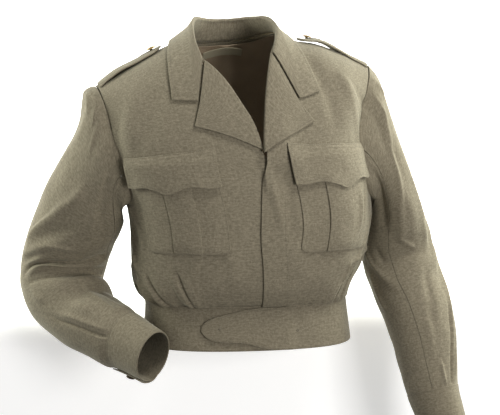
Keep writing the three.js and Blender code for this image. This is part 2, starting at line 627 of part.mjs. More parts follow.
function collar() {
  const half = (shape) => {
    const fold = (t) => readLine(shape.fold, t);
    const edge = (t) => readLine(shape.edge, t);
    const gorge = (u) => {
      const rows = shape.gorge;
      const k = u < rows[1].at ? 0 : 1;
      const t = (u - rows[k].at) / (rows[k + 1].at - rows[k].at);
      const between = (key) => mix(rows[k][key], rows[k + 1][key], t);
      return { side: between("side"), run: between("run"), lift: LAPEL_LIFT };
    };
    const middle = (u) => ({
      side: 0,
      run: mix(fold(1).run, edge(1).run, u),
      lift: mix(fold(1).lift, edge(1).lift, u),
    });
    const fallAt = (t, u) => ({ ...patch(fold, edge, gorge, middle, u, t), folded: 1 - smooth(t / 0.3) });
    return {
      seam: (t) => ({ ...readLine(shape.seam, t), lift: -SHELL - SEAT_GAP }),
      fold: (t) => ({ ...fold(t), folded: fallAt(t, 0).folded }),
      fallAt,
    };
  };
  const right = half(COLLAR_RIGHT);
  const left = half(COLLAR_LEFT);
  const ts = [0, 0.05, 0.12, 0.2, 0.28, 0.36, 0.45, 0.55, 0.66, 0.78, 0.9];
  const stations = [...ts.map((t) => -1 + t), 0, ...ts.map((t) => 1 - t).reverse()];
  const pick = (name) => (s, u) => (s <= 0 ? right[name](1 + s, u) : left[name](1 - s, u));
  return turned(stations, 3, [0.14, 0.32, 0.5, 0.62, 0.8, 1], pick("seam"), pick("fold"), pick("fallAt"), DOUBLE);
}

function pocketParts(which) {
  const spot = POCKETS[which];
  const left = which === "left";
  const lap = (side, run) => (left ? lapLift(side, run) : 0);
  const bulge = (u, level) => POCKET_BULGE * (1 - u * u) * smooth((level - 158) / 20) * smooth((312 - level) / 25);
  const outer = Math.sign(spot.centre);
  const sway = (level) => {
    const reach = smooth((262 - Math.abs(level - 225)) / 262);
    return spot.sway * outer * reach * (1 - ((level - 232) / 75) ** 2);
  };
  const swayed = (u, level) => sway(level) * (u * outer > 0 ? 1 : SWAY_INNER);
  const bag = cloth(POCKET_COLUMNS, POCKET_OUTLINE, (u, row) => {
    const side = spot.centre + spot.half * row.share * u + swayed(u, row.level);
    return { side, run: row.level, lift: POCKET_SEAT + SHELL + bulge(u, row.level) + lap(side, row.level) };
  }, SHELL);
  const pleat = cloth([-1, 0, 1], POCKET_PLEAT_LEVELS, (v, level) => {
    const side = spot.pleat + spot.pleatHalf * v + sway(level) * SWAY_PLEAT;
    const u = (side - spot.centre) / spot.half;
    return { side, run: level, lift: PLEAT_SEAT + 2 * SHELL + bulge(u, level) + lap(side, level) };
  }, SHELL);
  const flap = cloth([-1, -0.82, -0.5, -0.18, 0, 0.18, 0.5, 0.82, 1], [0, 0.1, 0.24, 0.5, 0.8, 1], (u, v) => {
    const low = along(FLAP_EDGE, "at", "level", u);
    const level = mix(FLAP_TOP - FLAP_SLOPE * u * outer, low, v);
    const side = spot.centre + (spot.half + FLAP_BEYOND) * u + swayed(u, level);
    const over = FLAP_SEAT + 3 * SHELL + bulge(clamp(Math.abs(u)), level) + FLAP_LIP * smooth((v - 0.5) / 0.5);
    const raised = mix(POCKET_SEAT + DOUBLE, over, smooth((FLAP_TOP - level + 2) / 12));
    return { side, run: level, lift: raised + lap(side, level) };
  }, DOUBLE);
  return { bag, pleat, flap };
}

function onShoulder(x, across, lift) {
  let side = sideAt(x, SHOULDER_END);
  let level = SHOULDER_END;
  for (let i = 0; i < 6; i++) {
    const depth = (across < 0 ? 138 : 130) * Math.cos(rad(side)) * (1 + BOXY * Math.sin(rad(side)) ** 2);
    const phi = Math.acos(Math.min(1, Math.abs(across) / depth));
    level = SHOULDER_START + (SHOULDER_END - SHOULDER_START) * phi * 2 / Math.PI;
    side = sideAt(x, level);
  }
  return onBody(side, across < 0 ? level : 2 * SHOULDER_END - level, lift, 1);
}

function strapPoint(which, t, across, lift) {
  const sign = which === "left" ? 1 : -1;
  const rises = along(STRAP_RISE[which], "at", "lift", t);
  const width = STRAP_HALF * along(STRAP, "at", "share", t);
  const reach = mix(STRAP_START, STRAP_TIP[which], t) - 2.5 * across * across * (1 - smooth(t * 5));
  return onShoulder(sign * reach, across * width - 1, rises + 0.8 * (1 - across * across) + lift);
}

function strap(which) {
  const ts = [0, 0.1, 0.22, 0.35, 0.48, 0.6, 0.72, 0.8, 0.88, 0.95, 1];
  const grid = (lift) => ts.map((t) => [-1, -0.55, 0, 0.55, 1].map((a) => strapPoint(which, t, a, lift)));
  return slab(grid(0), grid(-DOUBLE));
}

// Round solid about an axis at a place, from radius and height rows
function turnedPart(rows, place, axis, count = 16) {
  const to = new THREE.Quaternion().setFromUnitVectors(new THREE.Vector3(0, 0, 1), axis.clone().normalize());
  const points = [];
  const index = [];
  const add = (x, y, z) => points.push(new THREE.Vector3(x, y, z).applyQuaternion(to).add(place));
  add(0, 0, rows[0].height);
  for (const row of rows) {
    for (let k = 0; k < count; k++) {
      const angle = k / count * 2 * Math.PI;
      add(row.radius * Math.cos(angle), row.radius * Math.sin(angle), row.height);
    }
  }
  const last = rows.length - 1;
  add(0, 0, rows[last].height);
  const ring = (i, k) => 1 + i * count + (k % count);
  for (let k = 0; k < count; k++) {
    index.push(0, ring(0, k + 1), ring(0, k));
    for (let i = 0; i < last; i++) {
      index.push(ring(i, k), ring(i, k + 1), ring(i + 1, k + 1));
      index.push(ring(i, k), ring(i + 1, k + 1), ring(i + 1, k));
    }
    index.push(1 + rows.length * count, ring(last, k), ring(last, k + 1));
  }
  return geometryFrom(points, index);
}

function strapButton(which) {
  const top = strapPoint(which, BUTTON_AT, 0, 0);
  const axis = strapPoint(which, BUTTON_AT, 0, 1).sub(top);
  return turnedPart(STRAP_BUTTON, top, axis, 12);
}

// Sleeves
const sleeveSpec = (which) => (which === "left" ? SLEEVE_LEFT : SLEEVE_RIGHT);

// Armhole along the panels' edges, from the shoulder seam down the front, under the arm and up the back
function armhole(which, round, lift) {
  const sign = which === "left" ? 1 : -1;
  const front = round <= 180;
  const share = front ? round / 180 : (360 - round) / 180;
  const level = mix(SHOULDER_END, UNDERARM, share + 0.06 * Math.sin(2 * Math.PI * share));
  const levels = front ? FRONT_LEVELS : BACK_LEVELS;
  let i = 0;
  while (i < levels.length - 2 && levels[i + 1] < level) i++;
  const edge = (at) => {
    const side = sign * armSide(at, front ? "front" : "back");
    const reached = Math.min(at, SHOULDER_END - shoulderGap(side));
    return onBody(side, front ? reached : 2 * SHOULDER_END - reached, lift);
  };
  return edge(levels[i]).lerp(edge(levels[i + 1]), (level - levels[i]) / (levels[i + 1] - levels[i]));
}

function ringPoint(spec, at, round, swell) {
  const read = (column, where) => along(spec.rings, "at", column, where);
  const far = spec.rings[spec.rings.length - 1].at;
  const place = (where) => new THREE.Vector3(read("x", where), read("y", where), read("z", where));
  const tangent = place(Math.min(at + 9, far)).sub(place(Math.max(at - 9, 0))).normalize();
  const outward = new THREE.Vector3(...spec.out);
  outward.addScaledVector(tangent, -outward.dot(tangent)).normalize();
  const forward = outward.clone().cross(tangent);
  if (spec.out[0] > 0) forward.negate();
  const a = rad(round + read("turn", at));
  return place(at).addScaledVector(outward, (read("across", at) + swell) * Math.cos(a))
    .addScaledVector(forward, read("shift", at) + (read("through", at) + swell) * Math.sin(a));
}

function creaseLift(which, at, round) {
  let lift = 0;
  for (const crease of which === "left" ? CREASES_LEFT : CREASES_RIGHT) {
    let around = round - crease.round;
    if (around > 180) around -= 360;
    if (around < -180) around += 360;
    const down = (at - crease.at - crease.slant * around) / crease.span;
    lift += crease.height * Math.exp(-down * down - (around / crease.reach) ** 2);
  }
  return lift;
}

// A place on the sleeve: down runs 0 to 1 over the sleeve head, then adds the distance in tens of millimetres
function onSleeve(which, down, round, lift) {
  const spec = sleeveSpec(which);
  const ring = (at) => ringPoint(spec, at, round, lift + creaseLift(which, at, round));
  if (down >= 1) return ring((down - 1) * 10);
  const sign = which === "left" ? 1 : -1;
  const low = (1 - Math.cos(rad(round))) / 2;
  const start = armhole(which, round, lift);
  start.x += sign * (0.9 + 1.1 * (1 - low) ** 6);
  start.z -= 0.6 * low;
  const end = ring(0);
  const after = ring(12);
  const reach = start.distanceTo(end);
  const leave = new THREE.Vector3(...spec.leaveTop).lerp(new THREE.Vector3(...spec.leaveLow), low);
  leave.y -= 0.12 * Math.sin(rad(round));
  leave.setLength(reach * mix(spec.headReach, 1.1, low));
  const arrive = after.sub(end).setLength(reach * mix(spec.headArrive, 0.95, low));
  const t = down;
  const p = start.multiplyScalar((1 + 2 * t) * (1 - t) ** 2).addScaledVector(leave, t * (1 - t) ** 2)
    .addScaledVector(end, t * t * (3 - 2 * t)).addScaledVector(arrive, t * t * (t - 1));
  p.x += sign * along(HEAD_SWELL[which], "at", "out", t) * (1 - low) ** 4;
  return p;
}

function sleevePiece(which, under) {
  const spec = sleeveSpec(which);
  const length = spec.cuffAt - 0.2;
  const downs = [0, 0.04, 0.12, 0.24, 0.38, 0.52, 0.67, 0.83, 1];
  const rings = Math.round(length / 20);
  for (let k = 1; k <= rings; k++) downs.push(1 + k * length / rings / 10);
  const rounds = (down) => {
    const at = Math.max(0, (down - 1) * 10);
    const slit = smooth((at - length + spec.slit) / 12);
    const gap = 0.25 + (down < 1 ? 0.15 : 0);
    const from = mix(spec.frontSeam[0], spec.frontSeam[1], at / length);
    const to = spec.backSeam;
    return under ? [from + gap, to - gap - 2 * slit] : [to + gap + 2 * slit - 360, from - gap];
  };
  const count = under ? 6 : 11;
  const grid = (lift) => downs.map((down) => {
    const [from, to] = rounds(down);
    return steps(count).map((s) => {
      const round = mix(from, to, s);
      return onSleeve(which, down, round < 0 ? round + 360 : round, lift);
    });
  });
  return slab(grid(0), grid(-SHELL));
}

function cuff(which) {
  const spec = sleeveSpec(which);
  const far = spec.rings[spec.rings.length - 1].at;
  const rounds = [];
  for (let a = spec.backSeam - 6; a < spec.backSeam + 354 + CUFF_LAP - 1; a += 16) rounds.push(a);
  rounds.push(spec.backSeam + 354 + CUFF_LAP);
  const rise = (round) => (DOUBLE + 0.9) * smooth((round - spec.backSeam - 326) / 22);
  const place = (v, round, lift) => ringPoint(spec, mix(spec.cuffAt + 0.2, far, v), round, 0.6 + lift + rise(round));
  const grid = (lift) => [0, 0.1, 0.9, 1].map((v) => rounds.map((round) => place(v, round, lift)));
  return slab(grid(0), grid(-DOUBLE));
}

function cuffButton(which) {
  const spec = sleeveSpec(which);
  const at = (spec.cuffAt + spec.rings[spec.rings.length - 1].at) / 2;
  const round = spec.backSeam + 354 + CUFF_LAP - 16;
  const place = ringPoint(spec, at, round, DOUBLE + 1.5 + BUTTON_SEAT[which]);
  const middle = ringPoint(spec, at, round, -20);
  return turnedPart(CUFF_BUTTON, place, place.clone().sub(middle), 14);
}

function hangerLoop() {
  const grid = (lift) => [0, 1].map((v) => steps(6).map((u) => {
    const side = mix(-8.6, 6.2, u);
    return onBody(side, mix(514, 522, v), lift - 1.4 * Math.sin(Math.PI * u), 0);
  }));
  return slab(grid(LINING_LIFT - LINING - 1.6), grid(LINING_LIFT - LINING - 2.8));
}

const group = new THREE.Group();
function add(name, geometry, colour, roughness = 0.95, metalness = 0) {
  const mesh = new THREE.Mesh(geometry, new THREE.MeshStandardMaterial({ color: colour, roughness, metalness }));
  mesh.name = name;
  group.add(mesh);
}
const WOOL = 0x7a735f;
const WOOL_DARK = 0x6b6452;
const BROWN = 0x4a4031;
const BRASS = 0xb5852f;

add("front_right", frontPanel(false), WOOL);
add("front_left", frontPanel(true), WOOL);
add("back", backPanel(0, SHELL, BACK_SIDES, BACK_LEVELS, 0), WOOL);
add("waistband", waistband(), WOOL_DARK);
add("lapel_right", lapel(LAPEL_RIGHT, false), WOOL);
add("lapel_left", lapel(LAPEL_LEFT, true), WOOL);
add("collar", collar(), WOOL);
add("hanger_loop", hangerLoop(), BROWN);
add("back_lining", backPanel(LINING_LIFT, LINING, LINING_SIDES, LINING_LEVELS, 2, 0), BROWN);
for (const which of ["right", "left"]) {
  const parts = pocketParts(which);
  add(`pocket_${which}`, parts.bag, WOOL);
  add(`pocket_pleat_${which}`, parts.pleat, WOOL);
  add(`flap_${which}`, parts.flap, WOOL);
  add(`strap_${which}`, strap(which), WOOL);
  add(`strap_button_${which}`, strapButton(which), BRASS, 0.35, 1);
  add(`sleeve_upper_${which}`, sleevePiece(which, false), WOOL);
  add(`sleeve_under_${which}`, sleevePiece(which, true), WOOL);
  add(`cuff_${which}`, cuff(which), WOOL_DARK);
  add(`cuff_button_${which}`, cuffButton(which), BROWN, 0.5);
}

export default group;
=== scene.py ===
"""Short wool jacket, filled out as worn: the cloth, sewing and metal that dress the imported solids.

Shapes are worked out in millimetres in the jacket's own place (hem at about 0, front towards -Y, the wearer's
left at +X) and moved into the frame, in metres, when a mesh is made.
"""

import logging
from collections.abc import Callable
from dataclasses import dataclass, field
from enum import Enum

import bpy
import numpy as np
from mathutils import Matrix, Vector


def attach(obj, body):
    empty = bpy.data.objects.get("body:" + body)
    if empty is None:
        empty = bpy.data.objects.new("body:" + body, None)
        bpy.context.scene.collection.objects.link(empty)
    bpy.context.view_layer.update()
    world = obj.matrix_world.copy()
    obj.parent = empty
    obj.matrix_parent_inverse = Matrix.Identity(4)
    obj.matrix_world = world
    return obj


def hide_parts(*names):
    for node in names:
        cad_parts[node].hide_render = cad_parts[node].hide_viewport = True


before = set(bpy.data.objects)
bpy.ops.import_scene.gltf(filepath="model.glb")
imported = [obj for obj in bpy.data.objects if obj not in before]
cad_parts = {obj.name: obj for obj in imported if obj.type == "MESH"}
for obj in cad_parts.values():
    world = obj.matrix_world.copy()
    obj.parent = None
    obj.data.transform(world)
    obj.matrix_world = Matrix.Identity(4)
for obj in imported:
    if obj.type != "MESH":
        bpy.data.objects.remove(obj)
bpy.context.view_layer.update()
LOG = logging.getLogger("jacket")

Array = np.ndarray
Place = Callable[[Array, Array, float], Array]

HOLD = np.array([-22.0, 8.0, 470.0])
SHELL = 1.8
DOUBLE = 2.2
LINING = 1.0
LINING_LIFT = -4.0
SEAM_GAP = 0.5
HEM = 8.0
WAIST = 78.0
SHOULDER_START = 300.0
SHOULDER_END = 450.0
BOXY = 0.16
CUFF_TUCK = 3.5
TUCK_SINK = 0.5
TUCK_THIN = 0.3
MM_PER_DEGREE = 3.1


def smooth(t: Array | float) -> Array:
    """Ease from 0 to 1: 3t² - 2t³, held flat outside."""
    c = np.clip(t, 0.0, 1.0)
    return c * c * (3 - 2 * c)


def mix(a: Array | float, b: Array | float, t: Array | float) -> Array:
    """Straight blend from a to b."""
    return a + (b - a) * t


def bell(t: Array | float) -> Array:
    """Gaussian bump exp(-t²)."""
    return np.exp(-np.square(t))


def unit(v: Array) -> Array:
    """Vectors brought to length 1."""
    return v / np.maximum(np.linalg.norm(v, axis=-1, keepdims=True), 1e-9)


def pile(x: Array, y: Array, z: Array) -> Array:
    """Coordinates of one shape stacked as points."""
    return np.stack(np.broadcast_arrays(x, y, z), axis=-1)


@dataclass(frozen=True)
class Table:
    """Rows with named columns, read as a smooth curve along the first column."""

    columns: str
    rows: tuple[tuple[float, ...], ...]

    def read(self, column: str, at: Array | float) -> Array:
        """Cubic through the rows whose slope at a row is that between its neighbours.

        Args:
            column: name of the column to read.
            at: places along the first column.

        Returns:
            The column's values there, held at the first and last row outside.
        """
        data = np.array(self.rows, float)
        keys = data[:, 0]
        values = data[:, self.columns.split().index(column)]
        last = len(keys) - 1
        at = np.clip(np.asarray(at, float), keys[0], keys[last])
        i = np.clip(np.searchsorted(keys, at, side="left") - 1, 0, last - 1)
        before = np.maximum(i - 1, 0)
        after = np.minimum(i + 2, last)
        slope_in = (values[i + 1] - values[before]) / (keys[i + 1] - keys[before])
        slope_out = (values[after] - values[i]) / (keys[after] - keys[i])
        gap = keys[i + 1] - keys[i]
        t = (at - keys[i]) / gap
        return (
            (1 + 2 * t) * (1 - t) ** 2 * values[i]
            + t * (1 - t) ** 2 * gap * slope_in
            + t * t * (3 - 2 * t) * values[i + 1]
            + t * t * (t - 1) * gap * slope_out
        )

    def straight(self, column: str, at: Array | float) -> Array:
        """The column's values joined by straight lines."""
        data = np.array(self.rows, float)
        return np.interp(at, data[:, 0], data[:, self.columns.split().index(column)])


@dataclass(frozen=True)
class Crease:
    """A fold between two places on the cloth, raised or sunk, that may fall away steeply on one side."""

    start: tuple[float, float]
    end: tuple[float, float]
    width: float
    height: float
    steep: float = 1.0

    def lift(self, u: Array, v: Array) -> Array:
        """Height times a bell across the line and an ease at both ends.

        Args:
            u: place across the cloth, mm.
            v: place along the cloth, mm.

        Returns:
            How far the cloth is raised, mm.
        """
        dx = self.end[0] - self.start[0]
        dy = self.end[1] - self.start[1]
        length = float(np.hypot(dx, dy))
        pu = u - self.start[0]
        pv = v - self.start[1]
        t = (pu * dx + pv * dy) / length**2
        off = (pu * dy - pv * dx) / length
        reach = np.where(off > 0, self.width, self.width * self.steep)
        ends = smooth((t + 0.25) / 0.5) * smooth((1.25 - t) / 0.5)
        return self.height * bell(off / reach) * ends


def unevenness(u: Array, v: Array, seed: float) -> Array:
    """Slight waviness of hanging cloth: five slanted waves of 35 to 90 mm, each fading in and out.

    Args:
        u: place across the cloth, mm.
        v: place along the cloth, mm.
        seed: number that shifts the waves from piece to piece.

    Returns:
        Height between about -1 and 1.
    """
    total = np.zeros(np.broadcast(u, v).shape)
    for k, (length, angle) in enumerate(((88, 0.35), (61, 1.25), (47, 2.3), (39, 0.9), (35, 2.8))):
        phase = seed * 1.7 + k * 2.1
        along = u * np.cos(angle) + v * np.sin(angle)
        across = v * np.cos(angle) - u * np.sin(angle)
        along_wave = np.sin(along * 2 * np.pi / length + phase)
        across_wave = np.sin(across * 2 * np.pi / (length * 2.7) + phase * 1.9)
        total += along_wave * across_wave
    return total / 2.6


def spread(count: int, size: float, turn: float = 1.3) -> Array:
    """Even steps from 0 to 1 with extra ones where the cloth's edge turns.

    Args:
        count: number of even steps.
        size: length that the parameter covers, mm.
        turn: distance over which the edge is rounded, mm.

    Returns:
        The parameter's values.
    """
    edge = np.array([0, 0.1, 0.35, 0.7, 1.1]) * turn / size
    inside = np.linspace(edge[-1], 1 - edge[-1], count)
    return np.unique(np.concatenate([edge, inside, 1 - edge]).round(7))


# Tables of the jacket's form, in the same numbers as its solids
BODY = Table(
    "height right left front back",
    (
        (0, 172, 164, 114, 108),
        (72, 167, 155, 109, 104),
        (86, 180, 155, 120, 114),
        (106, 187, 164, 130, 123),
        (140, 189, 180, 137, 130),
        (190, 190, 190, 141, 133),
        (250, 194, 197, 141, 132),
        (300, 200, 199, 138, 130),
    ),
)
ARMHOLE = Table(
    "level front back",
    (
        (228, 197, 197),
        (240, 190, 192),
        (275, 187, 188),
        (318, 189, 190),
        (364, 203, 203),
        (400, 211, 211),
        (450, 218, 218),
    ),
)
UNDERARM = 228.0
NECK_FROM = 345.0
BACK_NECK = Table(
    "side run", ((0, 511), (6, 508), (12, 498), (16, 480), (17.5, 464), (18, 450))
)
ROLL_RIGHT = Table(
    "at side run", ((0, 5, 309), (0.2, 1.6, 326), (0.45, -3.2, 342), (0.75, -8.8, 364), (1, -13.1, 382))
)
ROLL_LEFT = Table("at side run", ((0, 5.4, 308), (0.3, 6.6, 332), (0.65, 8.1, 357), (1, 9.8, 382.5)))
EDGE_INSET = 0.6
FRONT_EDGE_RIGHT = Table(
    "level side",
    ((79, -10.5), (200, -10.5), (278, -10), (296, -8.2))
    + tuple((row[2], EDGE_INSET - row[1]) for row in ROLL_RIGHT.rows)
    + ((405, 15.5), (430, 17.6), (450, 18.1)),
)
FRONT_EDGE_LEFT = Table(
    "level side",
    ((79, 0.2), (140, -0.6), (200, -1.6), (270, 2))
    + tuple((row[2], EDGE_INSET + row[1]) for row in ROLL_LEFT.rows)
    + ((405, 12.4), (430, 14.1), (450, 14.5)),
)
ROLL_RADIUS = 3.5
LAPEL_LIFT = 4.8
NECK_LEFT = 0.8


class Half(Enum):
    """The wearer's right or left half."""

    RIGHT = "right"
    LEFT = "left"

    @property
    def sign(self) -> int:
        """-1 on the wearer's right, +1 on the left."""
        return 1 if self is Half.LEFT else -1


@dataclass(frozen=True)
class Pleat:
    """A pleat let into the waistband: crease angle at the waist and where it dies out, mm deep."""

    waist: float
    top: float
    level: float
    width: float
    depth: float

    def lift(self, side: Array, level: Array) -> Array:
        """Swell up to the crease and quick drop behind it, fading upwards."""
        t = np.clip((level - WAIST) / (self.level - WAIST), 0, 1)
        crease = mix(self.waist, self.top, t)
        outward = np.sign(self.waist) * (side - crease) / self.width
        swell = np.where(outward < 0, smooth(1 + outward / 1.6), 1 - smooth(outward / 0.5))
        return self.depth * swell * (1 - smooth(t)) * smooth((level - WAIST + 12) / 18)


PLEATS = {
    Half.RIGHT: (Pleat(-33.5, -40, 134, 8, 5.5), Pleat(-52, -62, 128, 8, 6), Pleat(-67, -79, 122, 8, 5)),
    Half.LEFT: (Pleat(42, 49, 136, 8, 6.5), Pleat(55, 65, 134, 8, 6), Pleat(70, 78, 118, 7, 4)),
}
PLEATS_BACK = (
    Pleat(-58, -66, 130, 9, 5),
    Pleat(-24, -27, 122, 9, 4),
    Pleat(25, 29, 126, 9, 4.5),
    Pleat(57, 64, 132, 9, 5),
)


def body_crease(
    side: float, run: float, to_side: float, to_run: float, width: float, height: float, steep: float = 1.0
) -> Crease:
    """A crease on the body, given by side angles and runs."""
    return Crease((side * MM_PER_DEGREE, run), (to_side * MM_PER_DEGREE, to_run), width, height, steep)


# Broad folds, which the solids have too
DRAGS = (
    body_crease(42, 400, 50, 325, 21, 4),
    body_crease(-56, 350, -50, 325, 21, 3),
    body_crease(-74, 250, -84, 190, 21, 4),
    body_crease(76, 250, 84, 200, 21, 4),
    body_crease(-70, 560, -50, 640, 18, 5),
    body_crease(70, 560, 50, 640, 18, 5),
    body_crease(-10, 700, 12, 790, 18, 4),
)
# Finer creases of the fronts and the back
WRINKLES = (
    # Left chest: hollow beside the collar, ridges towards the armhole
    body_crease(23, 400, 38, 338, 9, -3.2),
    body_crease(38, 382, 62, 322, 8, 3.0),
    body_crease(43, 374, 58, 350, 5, 1.8),
    body_crease(50, 368, 84, 338, 6, -2.6),
    body_crease(66, 395, 76, 318, 7, 2.4),
    # Middle: streaks beside the lapped edge
    body_crease(5.2, 296, 6.4, 205, 7, 3.6, 0.6),
    body_crease(10.4, 290, 11.5, 190, 7, -2.0),
    body_crease(4.4, 297, 3.2, 262, 2.4, 3.2, 0.5),
    body_crease(15, 240, 13, 140, 10, 1.6),
    # Left side below the pocket
    body_crease(52, 250, 50, 190, 7, 2.6),
    body_crease(57, 252, 50, 188, 4, -2.0),
    body_crease(68, 225, 54, 128, 7, 3.0, 0.6),
    body_crease(80, 214, 66, 120, 7, 3.4, 0.6),
    body_crease(89, 166, 50, 140, 5, 2.4, 0.6),
    body_crease(48, 140, 47, 110, 4, 2.8, 0.6),
    body_crease(44.2, 82, 50, 128, 2.6, -5.0),
    body_crease(52.3, 82, 55, 126, 2.6, -5.0),
    body_crease(47.5, 84, 48, 128, 4, 2.6, 0.6),
    # Right chest
    body_crease(-44, 380, -60, 318, 15, 2.4),
    body_crease(-30, 372, -42, 330, 12, -1.8),
    body_crease(-66, 352, -70, 292, 7, 2.4),
    body_crease(-60, 300, -66, 245, 7, 2.0),
    # Right side and the pleats' creases
    body_crease(-78, 236, -64, 160, 9, 3.0, 0.6),
    body_crease(-84, 190, -72, 116, 7, 3.4, 0.6),
    body_crease(-77, 150, -88, 126, 5, 3.4),
    body_crease(-80, 146, -60, 104, 5, 2.6),
    body_crease(-32.3, 82, -39.5, 132, 2.6, -5.2),
    body_crease(-48.5, 82, -62, 122, 2.8, -5.2),
    body_crease(-68, 82, -86, 104, 3.2, -5.0),
    body_crease(-37, 84, -43, 128, 4, 2.2, 0.6),
    body_crease(-53, 84, -66, 124, 4, 3.0, 0.6),
    body_crease(-28, 168, -33, 112, 9, 1.8),
    body_crease(-14, 190, -12, 110, 10, 1.4),
    # Back
    body_crease(-36, 520, -58, 600, 12, 3.0),
    body_crease(30, 530, 56, 620, 12, 3.2),
    body_crease(-62, 640, -76, 700, 9, 3.6, 0.6),
    body_crease(60, 630, 78, 705, 9, 3.6, 0.6),
    body_crease(4, 600, 22, 690, 14, 2.8),
    body_crease(-30, 640, -20, 740, 12, 2.6),
    body_crease(34, 720, 44, 800, 9, 2.8),
    body_crease(-44, 730, -38, 805, 9, 2.6),
)
# Small gathers where the cloth is drawn into the waistband: side angle, reach up, height
GATHERS_FRONT = (
    (-29, 26, 1.5), (-25.5, 20, 1.2), (-22, 30, 1.6), (-18, 22, 1.2), (-15, 26, 1.3), (-11, 18, 0.9),
    (20.5, 24, 1.5), (24, 30, 1.7), (28, 24, 1.6), (31.5, 30, 1.4), (36, 20, 1.2), (-44, 22, 1.2),
    (62, 22, 1.4),
    (-74, 26, 1.6), (78, 26, 1.6), (14, 18, 0.9),
)
GATHERS_BACK = (
    (-80, 26, 1.8), (-71, 22, 1.4), (-46, 26, 1.5), (-38, 22, 1.3), (-31, 30, 1.6), (-14, 26, 1.4),
    (-7, 30, 1.7),
    (1, 22, 1.2), (8, 28, 1.6), (16, 24, 1.4), (35, 28, 1.6), (43, 22, 1.3), (50, 26, 1.4), (70, 24, 1.5),
    (79, 28, 1.8),
)


